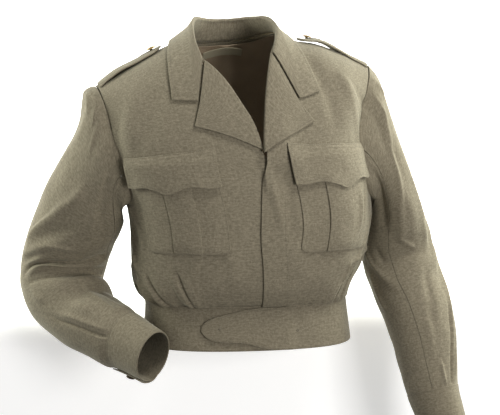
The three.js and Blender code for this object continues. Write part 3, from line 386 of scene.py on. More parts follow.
@dataclass(frozen=True)
class TorsoForm:
    """The filled body of the jacket, by side angle and by run.

    The run goes up the front, over the shoulder and down the back.
    """

    shoulder_y: float = 8.0
    widen: float = 42.0
    ridge_top: float = 524.0
    ridge_slope: tuple[float, float] = (0.54, 0.51)
    hollow: tuple[float, float] = (4.0, 14.0)
    ridge_round: float = 40.0
    lean: float = 24.0
    roll: float = 12.0

    def ridge(self, x: Array) -> Array:
        """Height of the shoulder seam.

        It falls outwards, right and left by their own slopes, and is hollowed beside the neck.
        """
        slope = np.where(x > 0, self.ridge_slope[1], self.ridge_slope[0])
        hollow = np.where(x > 0, self.hollow[1], self.hollow[0]) * bell((np.abs(x) - 85) / 38)
        return self.ridge_top - slope * (np.hypot(x, self.ridge_round) - self.ridge_round) - hollow

    @staticmethod
    def level(run: Array) -> Array:
        """Height-like level of a run, the same front and back."""
        return np.where(run > SHOULDER_END, 2 * SHOULDER_END - run, run)

    @staticmethod
    def bend(level: Array) -> Array:
        """Quarter turn over the shoulder, from 0 at its start to a right angle at the seam."""
        return np.maximum(0, (level - SHOULDER_START) / (SHOULDER_END - SHOULDER_START)) * np.pi / 2

    def half(self, level: Array, left: Array) -> Array:
        """Half width at a level, widened over the shoulder by the squared sine of the bend."""
        low = np.minimum(level, SHOULDER_START)
        base = np.where(left, BODY.read("left", low), BODY.read("right", low))
        return base + self.widen * np.sin(self.bend(level)) ** 2

    def side_at(self, x: Array, level: Array) -> Array:
        """Side angle at which the body reaches x, found by twelve fixed-point steps on its sine."""
        share = np.minimum(1, np.abs(x) / self.half(level, x > 0))
        sine = share
        for _ in range(12):
            sine = np.minimum(1, share / (1 + BOXY * (1 - sine * sine)))
        return np.sign(x) * np.degrees(np.arcsin(sine))

    def arm_side(self, level: Array, column: str) -> Array:
        """Side angle of the panel's outer edge: the side seam below the underarm, the armhole above."""
        above = np.abs(self.side_at(ARMHOLE.read(column, level), level))
        return np.where(level <= UNDERARM, 89.92, np.minimum(89.9, above))

    def shoulder_gap(self, side: Array) -> Array:
        """Run left free at the shoulder so that the seam stays even while the panels fan out."""
        depth = 136 * np.cos(np.radians(side))
        return np.minimum(3, 150 * 2 / np.pi * (SEAM_GAP / 2) / np.maximum(depth, 1e-6))

    def plain(self, side: Array, run: Array) -> Array:
        """Boxy oval at each level.

        Its depth closes with the cosine over the shoulder while its height climbs to the ridge.
        """
        side, run = np.broadcast_arrays(np.asarray(side, float), np.asarray(run, float))
        level = self.level(run)
        back = run > SHOULDER_END
        low = np.minimum(level, SHOULDER_START)
        phi = self.bend(level)
        s = np.sin(np.radians(side))
        c = np.cos(np.radians(side))
        depth = np.where(back, BODY.read("back", low), BODY.read("front", low)) * np.cos(phi)
        x = self.half(level, side > 0) * s * (1 + BOXY * c * c)
        y = self.shoulder_y * np.sin(phi) + np.where(back, 1, -1) * depth * c * (1 + BOXY * s * s)
        z = low + np.where(phi > 0, (self.ridge(x) - SHOULDER_START) * np.sin(phi), 0)
        return pile(x, y, z)

    def normal(self, side: Array, run: Array) -> Array:
        """Outward direction from small steps along side and run."""
        across = self.plain(side - 0.4, run) - self.plain(side + 0.4, run)
        back = run > SHOULDER_END
        low = np.where(back, np.maximum(run - 0.6, SHOULDER_END + 0.01), run - 0.6)
        high = np.where(back, run + 0.6, np.minimum(run + 0.6, SHOULDER_END - 0.01))
        up = self.plain(side, high) - self.plain(side, low)
        return unit(np.cross(up, across))

    def folds(self, side: Array, run: Array) -> Array:
        """Pleats, drags, wrinkles, gathers and slight unevenness of the cloth on the body, in mm of lift."""
        side, run = np.broadcast_arrays(np.asarray(side, float), np.asarray(run, float))
        level = self.level(run)
        back = run > SHOULDER_END
        lift = np.zeros(side.shape)
        for pleats, there in (
            (PLEATS[Half.RIGHT], ~back & (side < 0)),
            (PLEATS[Half.LEFT], ~back & (side >= 0)),
            (PLEATS_BACK, back),
        ):
            for pleat in pleats:
                lift += np.where(there & (level > WAIST), pleat.lift(side, level), 0)
        u = side * MM_PER_DEGREE
        for crease in DRAGS:
            lift += crease.lift(u, run)
        fine = np.zeros(side.shape)
        for crease in WRINKLES:
            fine += crease.lift(u, run)
        for gathers, there in ((GATHERS_FRONT, ~back), (GATHERS_BACK, back)):
            for at, reach, height in gathers:
                lean = (level - WAIST) * 0.05 * np.sign(at)
                line = bell((side - at - lean) / 1.35) * (1 - smooth((level - WAIST) / reach))
                fine += np.where(there, height * line, 0)
        fine += 0.55 * unevenness(u, run, 1.0) * smooth((level - 84) / 40)
        near_seam = smooth(np.abs(run - SHOULDER_END) / 22)
        return lift + fine * near_seam * smooth((level - WAIST + 6) / 7)

    def pose(self, points: Array) -> Array:
        """Lean to the wearer's right and slight roll, easing in above the waist."""
        k = smooth((points[..., 2] - 190) / 155)
        return pile(
            points[..., 0] - self.lean * k, points[..., 1],
            points[..., 2] + self.roll * k * points[..., 0] / 220
        )

    def place(self, side: Array, run: Array, lift: Array | float = 0.0, folded: Array | float = 1.0) -> Array:
        """Points on the cloth of the body, moved out along the plain body's normal."""
        side, run = np.broadcast_arrays(np.asarray(side, float), np.asarray(run, float))
        out = np.asarray(lift + folded * self.folds(side, run))
        return self.pose(self.plain(side, run) + self.normal(side, run) * out[..., None])

    @staticmethod
    def lap(side: Array, run: Array) -> Array:
        """How far the wearer's left front stands out where it passes over the right one."""
        cross = 5.2 * bell((run - 308) / 20)
        there = smooth((24 - side) / 12) * smooth((352 - run) / 34)
        return np.where(run > SHOULDER_END, 0, (3.2 + cross) * there)


FORM = TorsoForm()


class Wire:
    """A socket of a shader graph that can stand in a Python sum or product."""

    def __init__(self, graph: "Graph", socket: bpy.types.NodeSocket) -> None:
        """Keeps the graph and the socket."""
        self.graph = graph
        self.socket = socket

    def _math(self, operation: str, *values: object) -> "Wire":
        """A Math node on this wire and other values."""
        return self.graph.out("ShaderNodeMath", {"operation": operation}, dict(enumerate(values)))

    def __add__(self, other: object) -> "Wire":
        """Sum."""
        return self._math("ADD", self, other)

    def __radd__(self, other: object) -> "Wire":
        """Sum with a number in front."""
        return self._math("ADD", other, self)

    def __sub__(self, other: object) -> "Wire":
        """Difference."""
        return self._math("SUBTRACT", self, other)

    def __rsub__(self, other: object) -> "Wire":
        """Difference from a number in front."""
        return self._math("SUBTRACT", other, self)

    def __mul__(self, other: object) -> "Wire":
        """Product."""
        return self._math("MULTIPLY", self, other)

    def __rmul__(self, other: object) -> "Wire":
        """Product with a number in front."""
        return self._math("MULTIPLY", other, self)

    def sine(self) -> "Wire":
        """Sine of the wire's number."""
        return self._math("SINE", self)

    def ramp(self, low: float, high: float) -> "Wire":
        """0 below low, 1 above high and a smooth step between."""
        return self.graph.out(
            "ShaderNodeMapRange",
            {"interpolation_type": "SMOOTHSTEP"},
            {"Value": self, "From Min": low, "From Max": high},
        )


Colour = tuple[float, float, float]
Point = tuple[float, float, float]


class Graph:
    """Shader nodes of one material around its Principled shader."""

    def __init__(self, name: str) -> None:
        """Starts a material with only its Principled shader and output."""
        self.material = bpy.data.materials.new(name)
        self.material.use_nodes = True
        self.nodes = self.material.node_tree.nodes
        self.shader = self.nodes["Principled BSDF"]

    def node(self, kind: str, settings: dict[str, object], inputs: dict[object, object]) -> bpy.types.Node:
        """Any node: its settings first, then the values or links of its sockets.

        Args:
            kind: the node's type name.
            settings: properties of the node.
            inputs: a socket's name or number, with a value or a wire.

        Returns:
            The node.
        """
        node = self.nodes.new(kind)
        for key, value in settings.items():
            setattr(node, key, value)
        for key, value in inputs.items():
            self.feed(node.inputs[key], value)
        return node

    def out(
        self, kind: str, settings: dict[str, object], inputs: dict[object, object], socket: object = 0
    ) -> Wire:
        """The wire from one output of a new node."""
        return Wire(self, self.node(kind, settings, inputs).outputs[socket])

    def feed(self, socket: bpy.types.NodeSocket, value: object) -> None:
        """Links a wire to a socket, or sets the socket's own value."""
        if isinstance(value, Wire):
            self.material.node_tree.links.new(value.socket, socket)
        elif isinstance(value, tuple) and len(value) == 3 and socket.type == "RGBA":
            socket.default_value = (*value, 1.0)
        else:
            socket.default_value = value

    def blend(self, a: object, b: object, factor: object) -> Wire:
        """Colour from a to b by a factor."""
        return self.out("ShaderNodeMix", {"data_type": "RGBA"}, {0: factor, 6: a, 7: b}, 2)

    def noise(self, where: Wire, scale: float, detail: float = 2.0, rough: float = 0.55) -> Wire:
        """Noise value over a place, with a scale in features per metre."""
        inputs = {"Vector": where, "Scale": scale, "Detail": detail, "Roughness": rough}
        return self.out("ShaderNodeTexNoise", {}, inputs, 0)

    def cloth_place(self) -> Wire:
        """Place on the cloth in metres, from the piece's own map."""
        return self.out("ShaderNodeUVMap", {"uv_map": "cloth"}, {})

    def finish(self, **sockets: object) -> bpy.types.Material:
        """Feeds the shader's sockets, whose names have underscores for spaces here."""
        for key, value in sockets.items():
            self.feed(self.shader.inputs[key.replace("_", " ")], value)
        return self.material


def bumped(graph: Graph, height: Wire, distance: float, strength: float) -> Wire:
    """Normal from a bump of the given height in metres."""
    return graph.out("ShaderNodeBump", {}, {"Height": height, "Distance": distance, "Strength": strength})


@dataclass(frozen=True)
class WoolSerge:
    """Heathered wool serge.

    It has fibres of two tints, a fine diagonal twill, a brushed nap and slow changes of shade.
    """

    name: str = "wool_serge"
    dark: Colour = (0.118, 0.101, 0.067)
    light: Colour = (0.305, 0.266, 0.188)
    twill_pitch: float = 0.0019
    sheen: float = 0.28

    def make(self) -> bpy.types.Material:
        """Fibre noise picks between the tints and slow noise shifts them.

        Twill and fibres raise a low bump.
        """
        g = Graph(self.name)
        where = g.cloth_place()
        fibres = g.noise(where, 620.0, 3.0, 0.7)
        flecks = g.noise(where, 250.0, 2.0, 0.6)
        clouds = g.noise(where, 26.0, 3.0, 0.55)
        shades = g.noise(where, 6.5, 2.0, 0.5)
        axes = g.node("ShaderNodeSeparateXYZ", {}, {0: where})
        x = Wire(g, axes.outputs[0])
        y = Wire(g, axes.outputs[1])
        twill = ((x + y * 0.62) * (2 * np.pi / self.twill_pitch)).sine()
        across = g.out("ShaderNodeCombineXYZ", {}, {"X": x * 0.3, "Y": y})
        threads = g.noise(across, 380.0, 2.0, 0.6)
        down = g.out("ShaderNodeCombineXYZ", {}, {"X": x, "Y": y * 0.3})
        ends = g.noise(down, 330.0, 2.0, 0.6)
        heather = fibres.ramp(0.32, 0.68) * 0.24 + flecks.ramp(0.35, 0.7) * 0.24
        light = heather + threads.ramp(0.36, 0.64) * 0.26 + ends.ramp(0.38, 0.66) * 0.14
        light = light + clouds * 0.16 + shades * 0.12
        colour = g.blend(self.dark, self.light, light - 0.02)
        nap = fibres * 0.45 + flecks * 0.25 + threads * 0.3 + twill * 0.06 + clouds * 0.2
        return g.finish(
            Base_Color=colour,
            Roughness=0.86 + 0.1 * flecks,
            Normal=bumped(g, nap, 0.0011, 0.55),
            Sheen_Weight=self.sheen,
            Sheen_Roughness=0.42,
            Sheen_Tint=(0.80, 0.80, 0.66),
            Specular_IOR_Level=0.22,
        )


@dataclass(frozen=True)
class LiningTwill:
    """Smooth brown lining cloth with a fine steep twill and soft wear."""

    name: str = "lining_twill"
    dark: Colour = (0.275, 0.205, 0.130)
    light: Colour = (0.420, 0.330, 0.228)

    def make(self) -> bpy.types.Material:
        """Slow noise mixes two browns and a fine twill raises a very low bump."""
        g = Graph(self.name)
        where = g.cloth_place()
        clouds = g.noise(where, 30.0, 3.0)
        threads = g.noise(where, 900.0, 2.0, 0.7)
        axes = g.node("ShaderNodeSeparateXYZ", {}, {0: where})
        twill = ((Wire(g, axes.outputs[0]) * 1.7 + Wire(g, axes.outputs[1])) * (2 * np.pi / 0.0011)).sine()
        colour = g.blend(self.dark, self.light, clouds * 0.6 + threads * 0.35)
        return g.finish(
            Base_Color=colour,
            Roughness=0.55 + 0.2 * clouds,
            Normal=bumped(g, twill * 0.3 + threads * 0.5, 0.0003, 0.4),
            Sheen_Weight=0.1,
            Specular_IOR_Level=0.3,
        )


@dataclass(frozen=True)
class GiltBrass:
    """Gilt brass button, brighter where it is rubbed."""

    name: str = "gilt_brass"
    base: Colour = (0.40, 0.275, 0.10)
    dull: Colour = (0.19, 0.125, 0.055)

    def make(self) -> bpy.types.Material:
        """Noise over the object dulls the gilt in patches and lifts its roughness there."""
        g = Graph(self.name)
        where = g.out("ShaderNodeTexCoord", {}, {}, "Object")
        wear = g.noise(where, 260.0, 3.0).ramp(0.42, 0.66)
        return g.finish(
            Base_Color=g.blend(self.base, self.dull, wear * 0.7),
            Metallic=1.0,
            Roughness=0.28 + 0.3 * wear,
            Normal=bumped(g, g.noise(where, 900.0, 2.0), 0.0002, 0.25),
        )


@dataclass(frozen=True)
class DullPlastic:
    """Brown moulded button with faint mottling."""

    name: str = "button_plastic"
    base: Colour = (0.095, 0.068, 0.042)
    streak: Colour = (0.17, 0.125, 0.08)

    def make(self) -> bpy.types.Material:
        """Stretched noise streaks the brown, with a little variation of gloss."""
        g = Graph(self.name)
        where = g.out("ShaderNodeTexCoord", {}, {}, "Object")
        streaks = g.noise(where, 170.0, 4.0, 0.6)
        return g.finish(
            Base_Color=g.blend(self.base, self.streak, streaks.ramp(0.4, 0.7)),
            Roughness=0.34 + 0.2 * streaks,
            Normal=bumped(g, streaks, 0.0002, 0.2),
            Specular_IOR_Level=0.45,
        )


@dataclass(frozen=True)
class SewingThread:
    """Matt twisted sewing thread."""

    name: str = "sewing_thread"
    dark: Colour = (0.085, 0.070, 0.044)
    light: Colour = (0.19, 0.165, 0.112)

    def make(self) -> bpy.types.Material:
        """Fine noise mixes two shades along the thread."""
        g = Graph(self.name)
        where = g.out("ShaderNodeTexCoord", {}, {}, "Object")
        strands = g.noise(where, 1500.0, 2.0)
        return g.finish(
            Base_Color=g.blend(self.dark, self.light, strands),
            Roughness=0.7 + 0.15 * strands,
            Normal=bumped(g, strands, 0.0001, 0.4),
            Sheen_Weight=0.15,
        )


@dataclass(frozen=True)
class StudioPaper:
    """Pale matt paper of the floor and the background."""

    name: str = "studio_paper"
    tone: Colour = (0.90, 0.90, 0.895)

    def make(self) -> bpy.types.Material:
        """Plain colour with a faint tooth in its roughness."""
        g = Graph(self.name)
        where = g.out("ShaderNodeTexCoord", {}, {}, "Object")
        tooth = g.noise(where, 60.0, 2.0)
        return g.finish(
            Base_Color=self.tone,
            Roughness=0.85 + 0.1 * tooth,
            Specular_IOR_Level=0.1,
            Emission_Color=self.tone,
            Emission_Strength=0.5,
        )


WOOL = WoolSerge().make()
WOOL_BAND = WoolSerge(name="waistband_wool", dark=(0.112, 0.096, 0.063), light=(0.290, 0.252, 0.178)).make()
LINING_CLOTH = LiningTwill().make()
TAPE = LiningTwill("loop_tape", (0.330, 0.295, 0.200), (0.490, 0.440, 0.310)).make()
BRASS = GiltBrass().make()
PLASTIC = DullPlastic().make()
THREAD = SewingThread().make()


def quads(a: Array, b: Array, c: Array, d: Array) -> Array:
    """Four-cornered faces from four grids of vertex numbers."""
    return np.stack([a, b, c, d], axis=-1).reshape(-1, 4)


def outward(points: Array, faces: Array) -> Array:
    """Faces turned so that a closed shape's signed volume is positive."""
    p = points[faces]
    volume = np.einsum("ij,ij->i", p[:, 0], np.cross(p[:, 1], p[:, 2]) + np.cross(p[:, 2], p[:, 3])).sum()
    return faces if volume > 0 else faces[:, ::-1]


def put_mesh(
    name: str, points: Array, faces: Array, finish: bpy.types.Material, place: Array | None = None
) -> bpy.types.Object:
    """Makes an object at the origin from points in jacket millimetres.

    Args:
        name: the piece's name.
        points: vertices, mm, in the jacket's own place.
        faces: rows of four vertex numbers.
        finish: its material.
        place: each vertex's place on the cloth in metres, for cloth.

    Returns:
        The linked object, smooth shaded.
    """
    mesh = bpy.data.meshes.new(name)
    mesh.from_pydata(((points - HOLD) / 1000).tolist(), [], faces.tolist())
    mesh.polygons.foreach_set("use_smooth", np.ones(len(mesh.polygons), bool))
    if place is not None:
        corners = np.zeros(len(mesh.loops), int)
        mesh.loops.foreach_get("vertex_index", corners)
        layer = mesh.uv_layers.new(name="cloth")
        layer.data.foreach_set("uv", place[corners].astype(np.float32).ravel())
    mesh.materials.append(finish)
    mesh.update()
    piece = bpy.data.objects.new(name, mesh)
    bpy.context.scene.collection.objects.link(piece)
    return piece


def steps_along(points: Array, axis: int) -> Array:
    """Distance run along one axis of a grid of points, from its first row or column."""
    gaps = np.linalg.norm(np.diff(points, axis=axis), axis=-1)
    start = np.zeros_like(np.take(gaps, [0], axis=axis))
    return np.concatenate([start, np.cumsum(gaps, axis=axis)], axis=axis)


class Border(Enum):
    """A border of a grid of cloth."""

    START = "start"
    END = "end"
    LOW = "low"
    HIGH = "high"


@dataclass
class ClothShell:
    """A closed wall of cloth between two grids of points, with rounded edges and sunk seam lines."""

    name: str
    outer: Array
    inner: Array
    finish: bpy.types.Material
    slot: str
    held: str = "hung"
    grain: float = 0.0
    turn: float = 1.3
    sewn: tuple[tuple[Border, float], ...] = ()
    seam_depth: float = 0.45

    def distances(self) -> dict[Border, Array]:
        """Distance of each point from each border, along the cloth."""
        across = steps_along(self.outer, 1)
        down = steps_along(self.outer, 0)
        return {
            Border.START: across,
            Border.END: across[:, -1:] - across,
            Border.LOW: down,
            Border.HIGH: down[-1:, :] - down,
        }

    def settle(self) -> None:
        """Draws both faces together at the borders in a quarter round.

        The outside also sinks along each seam line.
        """
        away = self.distances()
        near = np.minimum.reduce(list(away.values()))
        through = self.inner - self.outer
        thick = np.linalg.norm(through, axis=-1, keepdims=True)
        inward = through / np.maximum(thick, 1e-6)
        share = 1 - np.sqrt(np.clip(1 - (1 - np.minimum(near / self.turn, 1)) ** 2, 0, 1))
        pull = 0.4 * thick[..., 0] * share
        sink = np.zeros(near.shape)
        for border, inset in self.sewn:
            others = [away[b] for b in Border if b is not border]
            inside = smooth(np.minimum.reduce(others) / 3)
            sink = np.maximum(sink, self.seam_depth * bell((away[border] - inset) / 0.9) * inside)
        base = self.outer.copy()
        self.outer = base + inward * (pull + sink)[..., None]
        self.inner = self.inner - inward * pull[..., None]

    def seam_path(self, border: Border, inset: float, trim: float = 2.0) -> tuple[Array, Array]:
        """A line on the outside at an even distance from a border.

        Args:
            border: the border followed.
            inset: distance from it, mm.
            trim: length left free at both ends, mm.

        Returns:
            The line's points and the outward directions there.
        """
        outer, inner = self.outer, self.inner
        if border in (Border.LOW, Border.HIGH):
            outer, inner = outer.transpose(1, 0, 2), inner.transpose(1, 0, 2)
        if border in (Border.END, Border.HIGH):
            outer, inner = outer[:, ::-1], inner[:, ::-1]
        run = steps_along(outer, 1)
        k = np.clip((run < inset).sum(axis=1), 1, run.shape[1] - 1)
        row = np.arange(len(k))
        t = ((inset - run[row, k - 1]) / np.maximum(run[row, k] - run[row, k - 1], 1e-6))[:, None]
        path = mix(outer[row, k - 1], outer[row, k], t)
        up = unit(mix((outer - inner)[row, k - 1], (outer - inner)[row, k], t))
        length = steps_along(path[None], 1)[0]
        keep = (length >= trim) & (length <= length[-1] - trim)
        return path[keep], up[keep]

    def make(self, *nodes: str) -> bpy.types.Object:
        """Args:
            nodes: solids that this piece stands for.

        Returns:
            The piece.
        """
        rows, cols = self.outer.shape[:2]
        width = steps_along(self.outer, 1)
        length = steps_along(self.outer, 0)
        area = self.area()
        points = np.concatenate([self.outer.reshape(-1, 3), self.inner.reshape(-1, 3)])
        top = np.arange(rows * cols).reshape(rows, cols)
        under = top + rows * cols
        faces = np.concatenate([
            quads(top[:-1, :-1], top[1:, :-1], top[1:, 1:], top[:-1, 1:]),
            quads(under[:-1, :-1], under[:-1, 1:], under[1:, 1:], under[1:, :-1]),
            quads(top[:-1, 0], under[:-1, 0], under[1:, 0], top[1:, 0]),
            quads(top[:-1, -1], top[1:, -1], under[1:, -1], under[:-1, -1]),
            quads(top[0, :-1], top[0, 1:], under[0, 1:], under[0, :-1]),
            quads(top[-1, :-1], under[-1, :-1], under[-1, 1:], top[-1, 1:]),
        ])
        u = np.broadcast_to(width.mean(axis=0)[None, :], (rows, cols))
        v = np.broadcast_to(length.mean(axis=1)[:, None], (rows, cols))
        c, s = np.cos(self.grain), np.sin(self.grain)
        flat = np.stack([u * c - v * s, u * s + v * c], axis=-1).reshape(-1, 2) / 1000
        place = np.concatenate([flat, flat + 0.37])
        piece = put_mesh(self.name, points, outward(points, faces), self.finish, place)
        wide = float(width[:, -1].max()) / 1000
        long = float(length[-1].max()) / 1000
        join(piece, self.slot, *nodes)
        LOG.info(
            "%s: cut %.0f x %.0f mm, %.4f m2, %d faces", self.name, wide * 1000, long * 1000, area, len(faces)
        )
        return piece

    def area(self) -> float:
        """Area of the outside in square metres, as half the cross product of each cell's diagonals."""
        p = self.outer
        one = p[1:, 1:] - p[:-1, :-1]
        two = p[1:, :-1] - p[:-1, 1:]
        return float(np.linalg.norm(np.cross(one, two), axis=-1).sum() / 2 / 1e6)


def join(piece: bpy.types.Object, slot: str, *nodes: str) -> None:
    """Rides a piece on the body and lets it stand for its solids, which it hides."""
    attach(piece, "root")
    if nodes:
        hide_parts(*nodes)


def on_body(
    us: Array, vs: Array, place: Callable[[Array, Array], tuple], thickness: float
) -> tuple[Array, Array]:
    """Outside and inside grids of cloth that lies on the body.

    Args:
        us: parameter across, one per column.
        vs: parameter along, one per row.
        place: gives side, run, lift and how much of the folds the cloth follows.
        thickness: wall thickness, mm.

    Returns:
        The two grids.
    """
    u, v = np.meshgrid(us, vs)
    side, run, lift, folded = place(u, v)
    return FORM.place(side, run, lift, folded), FORM.place(side, run, lift - thickness, folded)


@dataclass
class Stitching:
    """Rows of short stitches laid on the cloth and joined into one piece."""

    name: str
    pitch: float = 3.4
    length: float = 2.5
    radius: float = 0.3
    chunks: list[Array] = field(default_factory=list)

    def run(self, path: Array, up: Array) -> None:
        """Lays stitches at an even pitch along a line.

        Args:
            path: points of the line, mm.
            up: outward directions there.
        """
        if len(path) < 3:
            return
        along = steps_along(path[None], 1)[0]
        at = np.arange(self.pitch / 2, along[-1], self.pitch)
        middle = np.stack([np.interp(at, along, path[:, k]) for k in range(3)], axis=-1)
        ahead = np.stack([np.interp(at + 0.5, along, path[:, k]) for k in range(3)], axis=-1)
        behind = np.stack([np.interp(at - 0.5, along, path[:, k]) for k in range(3)], axis=-1)
        normal = unit(np.stack([np.interp(at, along, up[:, k]) for k in range(3)], axis=-1))
        forward = unit(ahead - behind)
        across = unit(np.cross(normal, forward))
        self.chunks.append(self.lozenges(middle, forward, across, normal))

    def lozenges(self, middle: Array, forward: Array, across: Array, normal: Array) -> Array:
        """Stitches as rings of six points on an ellipse.

        It closes towards both ends and dips into the cloth.
        """
        along = np.array([-1.0, -0.75, 0.0, 0.75, 1.0])
        size = np.array([0.15, 0.8, 1.0, 0.8, 0.15])
        angle = np.arange(6) / 6 * 2 * np.pi
        shift = along * self.length / 2
        dip = -0.25 * self.radius * along**2
        shape = (middle.shape[0], 5, 6, 3)
        points = np.zeros(shape)
        points += middle[:, None, None]
        points += forward[:, None, None] * shift[None, :, None, None]
        points += across[:, None, None] * (size[:, None] * np.cos(angle) * self.radius)[None, ..., None]
        height = size[:, None] * np.sin(angle) * self.radius * 0.8 + dip[:, None]
        points += normal[:, None, None] * height[None, ..., None]
        return points

    def make(self) -> bpy.types.Object:
        """Joins all stitches into one mesh with closed ends and adds it to the jacket."""
        points = np.concatenate(self.chunks)
        count = len(points)
        ring = np.arange(30).reshape(5, 6)
        turned = np.roll(ring, -1, axis=1)
        walls = quads(ring[:-1], turned[:-1], turned[1:], ring[1:])
        caps = np.array([[5, 2, 1, 0], [5, 4, 3, 2], [24, 25, 26, 29], [26, 27, 28, 29]])
        one = outward(
            points[0].reshape(-1, 3) - points[0].reshape(-1, 3).mean(axis=0), np.concatenate([walls, caps])
        )
        faces = (one[None] + np.arange(count)[:, None, None] * 30).reshape(-1, 4)
        piece = put_mesh(self.name, points.reshape(-1, 3), faces, THREAD)
        join(piece, "wool_serge")
        LOG.info("%s: %d stitches", self.name, count)
        return piece


def turned_solid(
    name: str, profile: tuple[tuple[float, float], ...], place: Array, axis: Array,
    finish: bpy.types.Material,
    slot: str, *nodes: str, count: int = 48,
) -> bpy.types.Object:
    """A closed round solid: radius and height rows turned about an axis.

    Args:
        name: the piece's name.
        profile: radius and height, mm, from the underside's middle round to the top's.
        place: foot of the axis, mm.
        axis: direction of the axis.
        finish: material.
        slot: material slot; not used.
        nodes: solids that it stands for.
        count: steps round the axis.

    Returns:
        The piece.
    """
    rows = np.array(profile, float)
    rows[[0, -1], 0] = np.maximum(rows[[0, -1], 0], 0.05)
    up = unit(np.asarray(axis, float))
    one = unit(np.cross(up, np.array([0.2, 0.9, 0.4])))
    two = np.cross(up, one)
    angle = np.arange(count) / count * 2 * np.pi
    ring = np.cos(angle)[:, None] * one + np.sin(angle)[:, None] * two
    points = place + rows[:, None, :1] * ring[None] + rows[:, None, 1:] * up
    index = np.arange(rows.shape[0] * count).reshape(-1, count)
    turned = np.roll(index, -1, axis=1)
    k = np.arange(count // 2 - 1)
    faces = [quads(index[:-1], turned[:-1], turned[1:], index[1:])]
    faces.append(quads(index[0, k], index[0, count - 1 - k], index[0, count - 2 - k], index[0, k + 1]))
    faces.append(quads(index[-1, k], index[-1, k + 1], index[-1, count - 2 - k], index[-1, count - 1 - k]))
    flat = points.reshape(-1, 3)
    piece = put_mesh(name, flat, outward(flat - flat.mean(axis=0), np.concatenate(faces)), finish)
    join(piece, slot, *nodes)
    return piece


def tube(
    name: str, path: Array, radius: float, finish: bpy.types.Material, slot: str, closed: bool
) -> bpy.types.Object:
    """A thread or cord of round section carried along a path.

    Args:
        name: the piece's name.
        path: points of its middle line, mm.
        radius: its radius, mm.
        finish: material.
        slot: material slot; not used.
        closed: whether it joins up with its own start.

    Returns:
        The piece.
    """
    ahead = np.roll(path, -1, axis=0) - np.roll(path, 1, axis=0)
    if not closed:
        ahead[0] = path[1] - path[0]
        ahead[-1] = path[-1] - path[-2]
    ahead = unit(ahead)
    one = unit(np.cross(ahead, np.array([0.13, 0.31, 0.94])))
    two = np.cross(ahead, one)
    angle = np.arange(8) / 8 * 2 * np.pi
    ring = np.cos(angle)[None, :, None] * one[:, None] + np.sin(angle)[None, :, None] * two[:, None]
    points = path[:, None] + radius * ring
    index = np.arange(len(path) * 8).reshape(-1, 8)
    rows = np.vstack([index, index[:1]]) if closed else index
    turned = np.roll(rows, -1, axis=1)
    faces = [quads(rows[:-1], turned[:-1], turned[1:], rows[1:])]
    if not closed:
        faces.append(np.array([[0, 3, 2, 1], [0, 5, 4, 3], [0, 7, 6, 5]]))
        faces.append(index[-1, 0] + np.array([[0, 1, 2, 3], [0, 3, 4, 5], [0, 5, 6, 7]]))
    flat = points.reshape(-1, 3)
    piece = put_mesh(name, flat, outward(flat - flat.mean(axis=0), np.concatenate(faces)), finish)
    join(piece, slot)
    return piece


